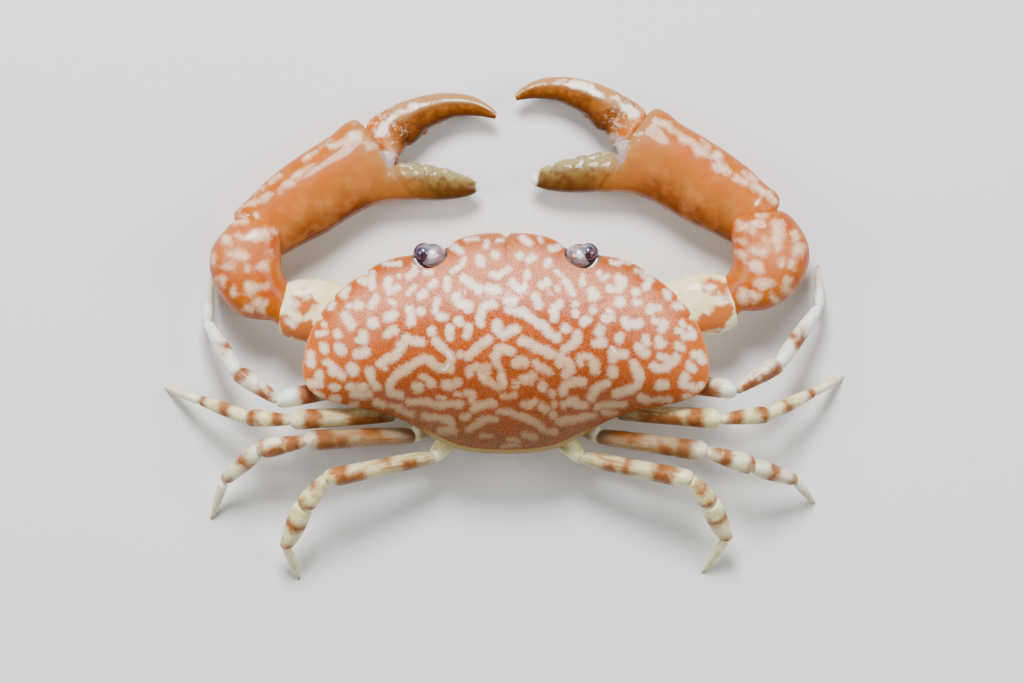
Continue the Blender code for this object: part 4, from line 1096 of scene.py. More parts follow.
# %% Leg measures
GAP = 0.3
HALF_GAP = GAP / 2
JOINTS = {
    "leg1_left": ((10.0, 2.6), (12.4, 3.6), (22.9, 5.4), (26.9, 2.7), (29.95, -2.3), (29.5, -6.9)),
    "leg2_left": ((9.2, 5.6), (11.3, 6.9), (21.6, 7.5), (25.9, 7.25), (30.7, 5.5), (34.3, 4.3)),
    "leg3_left": ((7.6, 7.9), (9.3, 9.0), (20.1, 9.6), (24.7, 10.5), (28.2, 13.6), (29.6, 17.6)),
    "leg4_left": ((5.0, 8.9), (7.4, 11.15), (18.0, 13.45), (20.2, 16.1), (22.0, 20.2), (20.7, 23.6)),
    "leg1_right": ((-10.0, 2.6), (-12.4, 3.4), (-23.0, 4.4), (-27.35, 1.85), (-31.3, -3.8), (-31.3, -8.1)),
    "leg2_right": ((-9.2, 5.6), (-11.3, 6.7), (-21.5, 7.4), (-26.3, 6.9), (-30.9, 4.7), (-33.9, 3.2)),
    "leg3_right": ((-7.6, 7.9), (-9.3, 9.1), (-20.1, 10.7), (-24.7, 12.1), (-29.0, 13.6), (-31.0, 15.95)),
    "leg4_right": ((-5.0, 8.9), (-7.6, 11.25), (-18.5, 13.5), (-20.4, 15.8), (-22.0, 19.4), (-19.6, 23.0)),
}
JOINT_HEIGHTS = {
    "leg1": (4.2, 4.7, 6.7, 5.6, 3.1, -0.25),
    "leg2": (4.1, 4.6, 7.3, 6.0, 3.2, -0.25),
    "leg3": (4.1, 4.5, 7.2, 6.0, 3.2, -0.25),
    "leg4": (4.3, 5.0, 7.4, 6.1, 3.2, -0.25),
}
# Half widths of merus, carpus, propodus and dactylus
LEG_WIDTHS = {
    "leg1": (0.98, 0.9, 0.78, 0.5),
    "leg2": (0.98, 0.86, 0.7, 0.46),
    "leg3": (1.0, 0.98, 0.86, 0.48),
    "leg4": (0.95, 1.0, 1.05, 0.48),
}
COXA_WIDTH = 0.92
SEGMENTS = ("coxa", "merus", "carpus", "propodus", "dactylus")
PROFILES = {
    "coxa": ((0, 1.0), (0.45, 1.08), (0.8, 0.95), (1, 0.8)),
    "merus": (
        (0, 0.7), (0.05, 0.82), (0.2, 0.88), (0.45, 0.94), (0.7, 0.98), (0.86, 1.04), (0.95, 1.0), (1, 0.72),
    ),
    "carpus": ((0, 0.58), (0.06, 0.68), (0.3, 0.82), (0.6, 0.98), (0.84, 1.02), (0.95, 0.96), (1, 0.78)),
    "propodus": ((0, 0.8), (0.06, 0.96), (0.3, 1.02), (0.6, 0.95), (0.84, 0.78), (0.95, 0.72), (1, 0.58)),
    "dactylus": ((0, 0.84), (0.08, 1.04), (0.32, 0.98), (0.6, 0.78), (0.82, 0.52), (0.97, 0.3), (1, 0.24)),
}
LEG_HEIGHT_SHARE = (1.0, 1.12, 1.0, 0.9, 1.0)
LEG_CREST, CREST_SHARPNESS = 0.16, 6
LEG_SIDES, LEG_SQUARENESS, SEGMENT_ROWS = 32, 2.2, 72
print("legs:", len(JOINTS), "segments each:", len(SEGMENTS))

# %% Leg bands
# The bands of each leg's merus, carpus and propodus: from, to, and the half that a band covers, which
# is 0 for the whole way round, 1 for the front and -1 for the back
BANDS = {
    "leg1_left": (
        ((0.15, 0.45, 1), (0.62, 0.81, 0)),
        ((0.08, 0.42, -1), (0.10, 0.26, 0), (0.80, 1.0, 0)),
        ((0.36, 0.52, 1),),
    ),
    "leg2_left": (
        ((0.1, 0.45, -1), (0.73, 0.88, 0)),
        ((0.10, 0.34, 0), (0.74, 0.97, 0)),
        ((0.32, 0.54, 0), (0.86, 1.0, 0)),
    ),
    "leg3_left": (
        ((0.30, 0.50, 1), (0.62, 0.74, -1), (0.76, 0.92, 0)),
        ((0.03, 0.42, 0), (0.42, 0.9, -1), (0.82, 0.95, 0)),
        ((0.24, 0.46, 1), (0.26, 0.44, 0), (0.84, 1.0, 0)),
    ),
    "leg4_left": (
        ((0.14, 0.3, -1), (0.40, 0.47, 1), (0.66, 0.92, -1), (0.80, 0.94, 0)),
        ((0.2, 0.42, 1), (0.84, 0.97, 0)),
        ((0.32, 0.50, 0), (0.90, 1.0, 0)),
    ),
    "leg1_right": (
        ((0.35, 0.78, 1), (0.5, 0.84, -1)),
        ((0.05, 0.45, -1), (0.5, 0.96, -1)),
        ((0.36, 0.48, 1), (0.30, 0.55, -1)),
    ),
    "leg2_right": (
        ((0.2, 0.66, -1), (0.70, 0.86, 0)),
        ((0.14, 0.42, 0), (0.76, 0.98, 0)),
        ((0.24, 0.42, 0), (0.84, 1.0, 0)),
    ),
    "leg3_right": (
        ((0.10, 0.40, 1), (0.60, 0.70, -1), (0.76, 0.88, 0)),
        ((0.10, 0.34, 1), (0.22, 0.50, 0), (0.86, 0.99, 0)),
        ((0.28, 0.50, 0), (0.86, 1.0, 0)),
    ),
    "leg4_right": (
        ((0.20, 0.34, -1), (0.38, 0.46, 0), (0.68, 0.85, 0)),
        ((0.22, 0.50, 1), (0.84, 0.99, 0)),
        ((0.28, 0.46, 0), (0.90, 1.0, 0)),
    ),
}
# How cool the pale ground is, and how much the coxa and merus darken near the body with tan and painted shade of
# the shell
LEG_COOLNESS = {"leg1": 0.8, "leg2": 0.15, "leg3": 0.45, "leg4": 0.1}
LEG_TAN_AND_SHADE = {"leg1": 0.45, "leg2": 0.55, "leg3": 0.95, "leg4": 0.35}


HALF_BAND_OVERLAP = 0.15  # how far a half band runs past the leg's middle, as a share of its half width


def band_depth(bands, along, front, length, half):
    """How deep a point lies inside the nearest band, in millimetres."""
    depth = np.full(np.broadcast(along, front).shape, -2.0)
    for start, end, side in bands:
        inside = np.minimum(along - start, end - along) * length
        if side:
            inside = np.minimum(inside, (side * front + HALF_BAND_OVERLAP) * half)
        depth = np.maximum(depth, inside)
    return depth


print("bands on the left second leg:", sum(len(bands) for bands in BANDS["leg2_left"]))

# %% Leg shapes
def joint_planes(joints):
    """The direction that each joint faces: halfway between the segments that meet there."""
    runs = unit(np.diff(joints, axis=0))
    return [runs[0], *unit(runs[:-1] + runs[1:]), runs[-1]]


END_SHARE = 0.3


def segment_rings(start, end, planes, profile, half, height_share):
    """Rings of one leg segment, their places along it and across it. Its ends lie in the planes given."""
    run = end - start
    across, up = section(LEG_SIDES, LEG_SQUARENESS)
    up = up * (1 + LEG_CREST * np.clip(up, 0, 1) ** CREST_SHARPNESS)
    rows = finer(profile, SEGMENT_ROWS)
    rings = []
    for at, share in rows:
        near_start, near_end = max(0.0, 1 - at / END_SHARE), max(0.0, 1 - (1 - at) / END_SHARE)
        facing = unit(run) * (1 - near_start) * (1 - near_end) + planes[0] * near_start + planes[1] * near_end
        side = unit(np.cross((0, 0, 1.0), unit(facing)))
        top = np.cross(unit(facing), side)
        rings.append(start + run * at + half * share * (across[:, None] * side + up[:, None] * height_share * top))
    return rings, rows[:, 0], across


def on_the_floor(mesh):
    """The mesh cut off at the floor, with a small flat to stand on."""
    made = bmesh.new()
    made.from_mesh(mesh)
    parts = made.verts[:] + made.edges[:] + made.faces[:]
    floor = {"plane_co": (0, 0, 0), "plane_no": (0, 0, 1)}
    cut = bmesh.ops.bisect_plane(made, geom=parts, dist=1e-7, clear_inner=True, **floor)["geom_cut"]
    bmesh.ops.edgeloop_fill(made, edges=[part for part in cut if isinstance(part, bmesh.types.BMEdge)])
    made.to_mesh(mesh)
    made.free()
    return mesh


print("each segment has", SEGMENT_ROWS * LEG_SIDES, "points")

# %% [markdown]
# The leg finish reads numbers that the mesh stores: how deep a point lies in a band, how far along the
# segment it is, how cool that leg is, and how strong its tan and its painted shade of the shell are near
# the body. The upper segments also have brown streaks that run lengthwise, and the tips turn grey.

# %% Leg finish
def leg_finish(name, streaks=False, tip=False):
    paint = Finish(name, roughness=0.34, coat=0.25, coat_roughness=0.1, specular=0.15, subsurface=0.02)
    rise, noise, value = paint.rise, paint.noise, paint.value
    clouds, band = noise(0.9, 4.0, 0.6), value("band")
    edge = paint.wobble(0.4, 0.8, 4.0, 0.65) + paint.wobble(1.3, 1.5)
    cream = paint.layers((244, 246, 194), (rise(clouds, 0.4, 0.65), (222, 212, 134)))
    icy = paint.layers((236, 250, 254), (rise(clouds, 0.4, 0.7), (226, 226, 204)))
    orange = paint.layers((156, 81, 2), (rise(clouds, 0.35, 0.65), (122, 51, 0)))
    coats = [
        (value("cool"), icy),
        (rise(band + edge * 1.4, -1.9, 0.0) * 0.32, (205, 154, 83)),
        (rise(band + edge, -0.62, 0.46) * (0.86 + 0.14 * noise(0.6)), orange),
    ]
    if streaks:
        tan_and_shade, along = value("tan_and_shade"), value("along")
        # Tan on the inner part and darker brown at the body end: partly the leg's own tan, partly painted shade of
        # the shell
        tan = tan_and_shade * rise(along + (clouds - 0.5) * 0.7 - tan_and_shade * tan_and_shade * 0.3, 0.82, 0.45)
        lengthwise = paint.node("ShaderNodeCombineXYZ", sockets={0: along * 1.6, 1: value("turn") * 6.0})
        streak = paint.node("ShaderNodeTexNoise", sockets={"Vector": lengthwise, "Scale": 1.6, "Detail": 3.0})
        coats += [
            (tan * 0.8, paint.layers((125, 85, 43), (clouds, (94, 53, 16)))),
            (rise(along, 0.25, 0.0) * tan_and_shade * 0.6, (101, 75, 41)),
            (rise(streak, 0.46, 0.62) * rise(along, 0.85, 0.35) * 0.75, (141, 77, 25)),
        ]
    if tip:
        far = value("along")
        coats += [(rise(far, 0.15, 0.5) * 0.6, (206, 204, 156)), (rise(far, 0.80, 0.95) * 0.7, (126, 124, 124))]
    paint.colour(cream, *coats)
    paint.rough(0.26 + 0.22 * clouds)
    pits = rise(paint.cells(0.28), 0.25, 0.02)
    paint.bump(noise(0.2, 4.0) * 0.8 + pits * 0.5 + clouds * 0.6, 0.02, 0.7)
    return paint


banded_paint = leg_finish("leg_banded")
streaked_paint = leg_finish("leg_streaked", streaks=True)
toe_paint = leg_finish("leg_tip_pale", tip=True)
segment_paints = dict(zip(SEGMENTS, (streaked_paint, streaked_paint, banded_paint, banded_paint, toe_paint)))
print("leg finishes:", sorted({paint.material.name for paint in segment_paints.values()}))

# %% Legs
COXA_SUNK = 0.4  # how far the coxa reaches into the body
LEG_CAP = 0.9 * HALF_GAP


def leg_frame(leg):
    """The leg's row, its joints, the planes of the joints and the half width of each segment."""
    row = leg.split("_")[0]
    joints = [np.array([*flat, z]) for flat, z in zip(JOINTS[leg], JOINT_HEIGHTS[row])]
    return row, joints, joint_planes(joints), (COXA_WIDTH, *LEG_WIDTHS[row])


for leg in JOINTS:
    row, joints, planes, halves = leg_frame(leg)
    side = SIDES[leg.split("_")[1]]
    for i, part in enumerate(SEGMENTS):
        start = joints[i] + planes[i] * (HALF_GAP if i else -COXA_SUNK)
        end = joints[i + 1] - planes[i + 1] * (HALF_GAP if i < 4 else 0)
        rings, alongs, across = segment_rings(
            start, end, planes[i:i + 2], PROFILES[part], halves[i], LEG_HEIGHT_SHARE[i]
        )
        bands = BANDS[leg][i - 1] if 1 <= i <= 3 else ()
        length = np.linalg.norm(end - start)
        turn = np.abs(np.arange(LEG_SIDES) / LEG_SIDES - 0.5) * 2
        mesh = capped_skin(leg, rings, LEG_CAP, {
            "band": band_depth(bands, alongs[:, None], -side * across[None, :], length, halves[i]),
            "along": alongs,
            "turn": np.tile(turn, (len(alongs), 1)),
            "cool": np.full(len(alongs), LEG_COOLNESS[row]),
            "tan_and_shade": np.full(len(alongs), LEG_TAN_AND_SHADE[row]),
        })
        if part == "dactylus":
            on_the_floor(mesh)
        finish_shell(f"{leg}_{part}", mesh, segment_paints[part], "leg_tips" if part == "dactylus" else "legs")
print("leg pieces:", sum(piece.name.startswith("leg") for piece in made_pieces))

# %% [markdown]
# Soft skin closes each joint. It is a short sleeve that runs from inside one segment to inside the next,
# so it shows only in the gap between the two hard rims.

# %% Joint skins
SKIN_REACH, SKIN_SHARE, SKIN_FOLD, SKIN_ROWS = 0.34, 0.88, 0.06, 13


def merged(name, meshes):
    """One mesh out of several."""
    made = bmesh.new()
    for mesh in meshes:
        made.from_mesh(mesh)
    whole = bpy.data.meshes.new(name)
    made.to_mesh(whole)
    made.free()
    whole.shade_smooth()
    return whole


membrane_paint = cream_finish("joint_skin", (232, 222, 206), (206, 182, 160), (140, 120, 108), 0.3)
for leg in JOINTS:
    _, joints, planes, halves = leg_frame(leg)
    sleeves = []
    for i in range(1, 5):
        before = halves[i - 1] * PROFILES[SEGMENTS[i - 1]][-1][1]
        after = halves[i] * PROFILES[SEGMENTS[i]][0][1]
        at = np.linspace(-1, 1, SKIN_ROWS)
        radii = min(before, after) * SKIN_SHARE * (1 + SKIN_FOLD * np.cos(at * math.pi * 2))
        line = joints[i] + np.multiply.outer(at, planes[i] * SKIN_REACH)
        sleeves.append(round_tube("sleeve", line, radii, 0.1, 28))
    finish_piece(f"{leg}_joint_skin", merged("sleeves", sleeves), membrane_paint, "legs")
print("joint skins:", len(JOINTS))

# %% [markdown]
# ## The claw arms
# Each claw arm has a short base, an arm that widens outward, a stout wrist, and the claw itself: a long
# palm with a fixed finger, and a movable finger hinged on it. Their spots were noted from above like the
# shell's, so one brush-stroke helper serves them all.

# %% Arm and wrist measures
CHELIPED_ARM = ((9.8, -3.2, 4.3), (12.3, -3.3, 4.5), (21.9, -3.9, 5.0))
ARM_COXA_PROFILE = ((0, 1.45, 1.35), (0.5, 1.55, 1.4), (1, 1.35, 1.25))
ARM_MERUS_PROFILE = (
    (0, 1.35, 1.3), (0.06, 1.75, 1.5), (0.3, 2.45, 1.8), (0.6, 3.15, 2.0), (0.85, 3.0, 2.05), (1, 2.35, 1.7),
)
WRIST_LEVEL = 5.0

WRISTS = {
    "left": (
        (22.5, -1.6, 21.8, -6.1, 1.6), (23.3, -2.4, 22.05, -6.5, 1.9), (24.8, -2.55, 22.3, -7.0, 2.3),
        (26.1, -2.75, 22.45, -7.5, 2.6), (27.4, -3.55, 22.5, -8.0, 2.8), (28.5, -4.8, 22.5, -8.6, 2.9),
        (29.4, -6.5, 22.5, -9.2, 2.95), (29.7, -8.2, 22.5, -9.9, 2.95), (29.4, -9.8, 22.4, -10.7, 2.8),
        (28.5, -11.1, 22.4, -11.4, 2.5), (27.5, -12.2, 22.8, -12.05, 2.0), (26.5, -12.7, 23.9, -12.45, 1.1),
    ),
    "right": (
        (-23.0, -2.5, -21.7, -6.7, 1.6), (-23.5, -3.35, -22.1, -7.05, 1.9), (-24.9, -3.4, -22.4, -7.4, 2.3),
        (-26.2, -3.6, -22.6, -7.8, 2.6), (-27.6, -4.3, -22.7, -8.3, 2.8), (-28.9, -5.4, -22.7, -8.9, 2.9),
        (-30.0, -7.0, -22.65, -9.6, 2.95), (-30.4, -8.9, -22.6, -10.3, 2.95), (-30.1, -10.6, -22.5, -11.2, 2.8),
        (-29.2, -12.1, -22.5, -12.1, 2.5), (-28.1, -13.2, -22.9, -12.9, 2.0), (-27.0, -13.55, -23.9, -13.35, 1.1),
    ),
}
print("wrist rows:", [len(rows) for rows in WRISTS.values()])

# %% Claw measures
PALM = (
    (-1.9, -1.2, 2.2, 1.0), (-1.5, -2.2, 2.8, 1.4), (-0.8, -3.0, 3.1, 1.75), (0.3, -3.4, 3.2, 2.0),
    (2.3, -3.58, 3.66, 2.2), (5.2, -3.92, 3.96, 2.35), (8.2, -3.98, 4.02, 2.35), (10.8, -4.26, 3.97, 2.3),
    (12.4, -4.9, 4.18, 2.1), (13.5, -5.6, 4.05, 1.95), (14.05, -5.9, 3.35, 1.75), (14.3, -6.05, 1.2, 1.6),
    (14.5, -6.15, -1.6, 1.5),
)
FIXED_FINGER_LENGTH = 6.05
FIXED_FINGER = (
    (0.0, -6.2, -1.9, 1.45), (0.3, -7.45, -3.12, 1.3), (0.6, -8.4, -4.8, 1.1), (0.82, -8.82, -6.32, 0.8),
    (0.95, -8.75, -7.5, 0.45), (1.0, -8.5, -8.15, 0.2),
)
FINGER = (
    (14.62, 3.0, 14.8, -1.85, 1.15), (15.2, 3.2, 15.4, -1.45, 1.35), (16.24, 3.16, 16.1, -1.0, 1.45),
    (17.35, 3.05, 17.0, -1.0, 1.42), (18.46, 2.89, 17.95, -1.0, 1.4), (20.46, 2.29, 19.9, -0.8, 1.25),
    (22.3, 1.43, 21.5, -1.1, 1.05), (23.9, 0.25, 22.9, -1.8, 0.85), (24.94, -0.92, 24.1, -2.6, 0.65),
    (25.58, -2.3, 24.85, -3.3, 0.45), (25.78, -3.27, 25.25, -3.7, 0.22),
)

FIXED_TEETH, FINGER_TEETH, FINGER_TEETH_REACH, TOOTH_HEIGHT = 5, 4, 0.68, 0.28
# Heading is from the midline and opening is the finger's extra turn, both in degrees. Stretches are of the
# finger and of the fixed finger, and shifts move the palm's lower and upper edges.
CHELAE = {
    "left": {
        "wrist": (24.4, -11.7), "heading": 33.5, "opening": 0.0, "stretch": 1.015, "fixed_stretch": 1.0,
        "shifts": (0.0, 0.0),
    },
    "right": {
        "wrist": (-24.67, -13.23), "heading": 31.5, "opening": 5.0, "stretch": 1.04, "fixed_stretch": 1.05,
        "shifts": (-0.22, -0.08),
    },
}

ARM_AIM = 0.57
FINGER_ROOT = (14.05, 2.5, 14.35, -1.1, 0.8)
CHELA_HEIGHTS = (4.4, 2.3)
CHELA_LENGTH = 25.0
FINGER_PIVOT = np.array([14.2, 0.0])
print("palm rows:", len(PALM), "finger rows:", len(FINGER))

# %% Claw shapes
CLAW_SIDES = 48
ARM_SQUARENESS, WRIST_SQUARENESS, PALM_SQUARENESS, FINGER_SQUARENESS = 2.4, 2.3, 2.12, 2.4
CLAW_ROWS, FIXED_ROWS, FINGER_ROWS = 110, 84, 130
CHELA_DROP_POWER = 0.6
TOOTH_ROUNDNESS, FIXED_FADE, FINGER_FADE = 0.8, 0.3, 0.4
FINGER_TOOTH_HEIGHT, FINGER_TEETH_START = 1.3 * TOOTH_HEIGHT, 0.2


def arm_rings(start, end, profile, rows):
    _, side, top = frames_along([start, end])
    across, up = section(CLAW_SIDES, ARM_SQUARENESS)
    return [
        start + (end - start) * at + across[:, None] * side[0] * wide + up[:, None] * top[0] * thick
        for at, wide, thick in finer(profile, rows)
    ]


def wrist_ring(row):
    outer, inner = np.array([*row[:2], WRIST_LEVEL]), np.array([*row[2:4], WRIST_LEVEL])
    across, up = section(CLAW_SIDES, WRIST_SQUARENESS)
    return (outer + inner) / 2 + across[:, None] * (outer - inner) / 2 + up[:, None] * np.array([0, 0, row[4]])


def chela_frame(side_name):
    """Maps the palm's own plane (along, across, up) to the body frame."""
    claw, side = CHELAE[side_name], SIDES[side_name]
    angle = math.radians(claw["heading"])
    along = np.array([-math.cos(angle) * side, -math.sin(angle), 0.0])
    across = np.array([math.sin(angle) * side, -math.cos(angle), 0.0])
    root, (high, low) = np.array([*claw["wrist"], 0.0]), CHELA_HEIGHTS

    def to_body(u, v, w):
        level = high + (low - high) * ramp(np.asarray(u), 0, CHELA_LENGTH) ** CHELA_DROP_POWER
        flat = root + np.multiply.outer(u, along) + np.multiply.outer(v, across)
        return flat + np.multiply.outer(level + w, (0, 0, 1.0))

    return to_body


def tooth(at, count, height, fade):
    """Height of a row of low teeth that fades out at 1."""
    return height * abs(math.sin(math.pi * count * at)) ** TOOTH_ROUNDNESS * max(0.0, 1 - at) ** fade


def palm_rings(side_name):
    """Rings of the palm and its fixed finger, and where each lies along and across."""
    claw, to_body = CHELAE[side_name], chela_frame(side_name)
    low_shift, high_shift = claw["shifts"]
    across, up = section(CLAW_SIDES, PALM_SQUARENESS)
    slices = [tuple(row) for row in finer(PALM, CLAW_ROWS)]
    for at, low, high, thick in finer(FIXED_FINGER, FIXED_ROWS)[2:]:
        reach = PALM[-1][0] + FIXED_FINGER_LENGTH * claw["fixed_stretch"] * at
        slices.append((reach, low, high + tooth(at, FIXED_TEETH, TOOTH_HEIGHT, FIXED_FADE), thick))
    rings, us, vs = [], [], []
    for u, low, high, thick in slices:
        low, high = low + low_shift, high + high_shift
        v = (high + low) / 2 + across * (high - low) / 2 * SIDES[side_name]
        rings.append(to_body(np.full(CLAW_SIDES, u), v, up * thick))
        us.append(u)
        vs.append(v)
    return rings, np.array(us), np.array(vs)


def finger_rings(side_name):
    claw, to_body = CHELAE[side_name], chela_frame(side_name)
    across, up = section(CLAW_SIDES, FINGER_SQUARENESS)
    cos, sin = math.cos(math.radians(claw["opening"])), math.sin(math.radians(claw["opening"]))
    spin = np.array([[cos, -sin], [sin, cos]])
    rings = []
    for at, row in zip(np.linspace(0, 1, FINGER_ROWS), finer((FINGER_ROOT, *FINGER), FINGER_ROWS)):
        outer, inner = row[:2], row[2:4]
        at /= FINGER_TEETH_REACH
        bump = tooth(at, FINGER_TEETH, FINGER_TOOTH_HEIGHT, FINGER_FADE) * (at > FINGER_TEETH_START)
        inner = inner + unit(inner - outer) * bump
        arms = ((point - FINGER_PIVOT) * (claw["stretch"], 1) for point in (outer, inner))
        outer, inner = (FINGER_PIVOT + spin @ arm for arm in arms)
        flat = (outer + inner) / 2 + across[:, None] * (outer - inner) / 2
        rings.append(to_body(flat[:, 0], flat[:, 1], up * row[4]))
    return rings, np.tile(across, (FINGER_ROWS, 1))


print("claw cross-section points:", CLAW_SIDES)

# %% [markdown]
# The claw finishes share one ground: orange above, tan below, white marks where strokes say so. The
# fingers turn amber towards the tip, with a pale ridge on the outer edge.

# %% Claw patterns
WRIST_STROKES = """
5,225.5,239,226,241 4,236,222,244,221 6.5,253,237,265,234 4,238,234,242,237 5,236,256,244,256 4,230,252,233,254
4.5,224,266,232,268 4.5,249,268,250,268 4.5,260,267,262,266 6.2,249,287,252,288 4.2,264,286,266,286
4.5,234,290,234,293 4,221,279,223,283 5.8,258,302,264,304 4.5,246,308,250,310 3.5,258,311,264,312
3.5,213,256,214,264 3.6,272,232,275,231 3.4,270,252,272,256
5.5,741,226,745,226 5,754,226,754,232 4,757,216,764,216 6,777,224,779,236,776,246 5,794,233,797,238
6,799,249,799,252 4.5,781,261,781,266 4.5,791,263,792,267 6,756,249,763,253 4.5,740,254,744,258
6,753,266,759,268 7,761,283,766,284 5.5,743,293,745,298 5.5,752,295,756,298 4.5,773,297,777,300
5,788,280,786,289 3.4,739,240,742,242 3.6,766,238,768,241
"""
PALM_STROKES = """
4.5,331,147,344,140 4.8,350,136,360,134 3.4,304,158,317,151 3.8,293,178,303,172,313,165 3.5,282,187,292,180
3.2,270,181,279,175 3.5,253,193,262,188 3.4,262,198,280,191 3,238,208,248,204,258,200 2.8,238,217,244,217
2.6,318,146,330,138 3,367,146,377,147
5.5,656,121,667,123 4.5,670,130,679,135,693,143 5,697,147,706,153 4.3,711,156,719,155 6,719,165,726,170
4.5,737,178,746,182 4,745,172,756,179 4.5,755,187,768,194 2.8,757,202,760,203 3.4,770,197,776,202
3,702,140,708,146 3,636,131,640,133
"""
ARM_STROKES = """
4.6,290,303,294,306 3,305,292,307,296 3.2,289,321,293,323 3.6,718,300,724,297 3,708,291,713,289 3,729,292,732,296
"""
ARM_WARM_STROKES = """
9,298,303,307,304 7,304,295,308,297 11,290,328,306,331 6,284,322,286,326
8,706,287,716,288 8,726,311,712,323 8,700,325,716,318 6,722,288,726,292
"""
# White marks near the roots of the movable fingers; the strokes farther out along the upper edge are painted sheen
FINGER_MARK_AND_SHEEN_STROKES = """
5.5,379,133,384,127 3,384,123,393,117 1.4,396,112,404,109 1.8,410,106,420,103
5,628,108,633,114 3,622,103,627,106 2,611,97,619,99 4.6,574,83,590,87 2.6,592,90,600,94 1.4,550,83,566,80
"""
MEMBRANE_STROKES = """
6,386,153,395,155 5,388,158,394,159 4,389,164,391,165 2,389,169,389,171
6,612,138,622,141 5,614,146,622,149 4,617,153,623,155 2.5,620,161,621,163 2.5,626,140,625,150
"""

wrist_strokes, palm_strokes = read_strokes(WRIST_STROKES), read_strokes(PALM_STROKES)
arm_strokes, arm_warm_strokes = read_strokes(ARM_STROKES), read_strokes(ARM_WARM_STROKES)
finger_mark_and_sheen_strokes, membrane_strokes = read_strokes(FINGER_MARK_AND_SHEEN_STROKES), read_strokes(MEMBRANE_STROKES)
print("strokes on the claw arms:", len(wrist_strokes) + len(palm_strokes) + len(arm_strokes))

# %% Claw finishes
def claw_base(name, roughness=0.36):
    paint = Finish(name, roughness=roughness, coat=0.25, coat_roughness=0.08, specular=0.12, subsurface=0.02)
    pits = paint.rise(paint.cells(0.3), 0.24, 0.02)
    paint.bump(paint.noise(0.22, 4.0) * 0.6 + pits * 0.5 + paint.noise(0.9) * 0.8, 0.025, 0.8)
    paint.rough(roughness - 0.06 + 0.16 * paint.noise(0.8))
    return paint


def marks(paint, reach=0.95, inset=0.0):
    """The share that pale, soft-edged marks cover where the mesh's strokes say so."""
    depth = paint.value("mark") + paint.wobble(0.4, 0.7, 4.0, 0.7) + paint.wobble(1.3, 0.8) - inset
    return (paint.rise(depth, -0.38, 0.34) * 0.7 + paint.rise(depth, 0.1, 0.7) * 0.3) * reach


def wrist_finish():
    """Orange with a pink painted sheen in the middle of its top."""
    paint = claw_base("wrist_orange")
    paint.colour(
        (174, 74, 0),
        (paint.patches(1.6, 0.35, 0.65, 4.0, 0.55), (182, 98, 4)),
        # A pink painted sheen
        (paint.value("flush") * 0.5, (230, 138, 100)),
        (marks(paint, 0.8, 0.12), (255, 226, 190)),
    )
    return paint


def palm_finish():
    """Orange above, tan below, painted shade of red-brown along the lower edge, olive with painted glints on the
    fixed finger, a white tip.
    """
    paint = claw_base("palm_orange")
    rise, value, patches = paint.rise, paint.value, paint.patches
    clouds, along, lower = paint.noise(2.2, 4.0, 0.55), value("along"), value("lower")
    reach, level = along + (clouds - 0.5) * 3, value("across") + (clouds - 0.5) * 2.8
    olive = paint.layers(
        (119, 92, 44),
        (patches(0.9, 0.4, 0.62, 4.0), (92, 62, 16)),
        # The fixed finger darkens towards its lower edge: painted shade
        (rise(lower, 0.35, 0.9) * 0.8, (75, 36, 6)),
        (rise(lower + paint.wobble(0.8, 0.6, 4.0), 0.46, 0.06) * 0.55, (183, 174, 124)),
        # White glints: painted highlights
        (patches(0.8, 0.60, 0.66) * rise(lower, 0.45, 0.2) * 0.6, (246, 246, 236)),
    )
    paint.colour(
        (160, 92, 30),
        (rise(level, -1.4, 1.4), (180, 92, 0)),
        # Dark red-brown along the lower edge: painted shade
        (rise(level, -0.8, -3.6) * 0.88, (98, 42, 8)),
        (patches(1.6, 0.44, 0.74, 4.0) * 0.26, (214, 140, 78)),
        (patches(1.5, 0.50, 0.68, 4.0) * rise(level, -1.0, 0.6) * 0.5, (182, 78, 0)),
        (rise(reach, 8.6, 12.8) * 0.72, (170, 100, 38)),
        (rise(reach, 12.2, 16.8), olive),
        (rise(along + lower * 0.7 + (clouds - 0.5) * 0.4, 20.4, 20.8) * 0.9, (240, 244, 246)),
        (marks(paint, 0.86, 0.16), (255, 236, 208)),
        (rise(value("soft"), -0.05, 0.2), paint.layers((112, 92, 86), (clouds, (184, 162, 154)))),
    )
    return paint


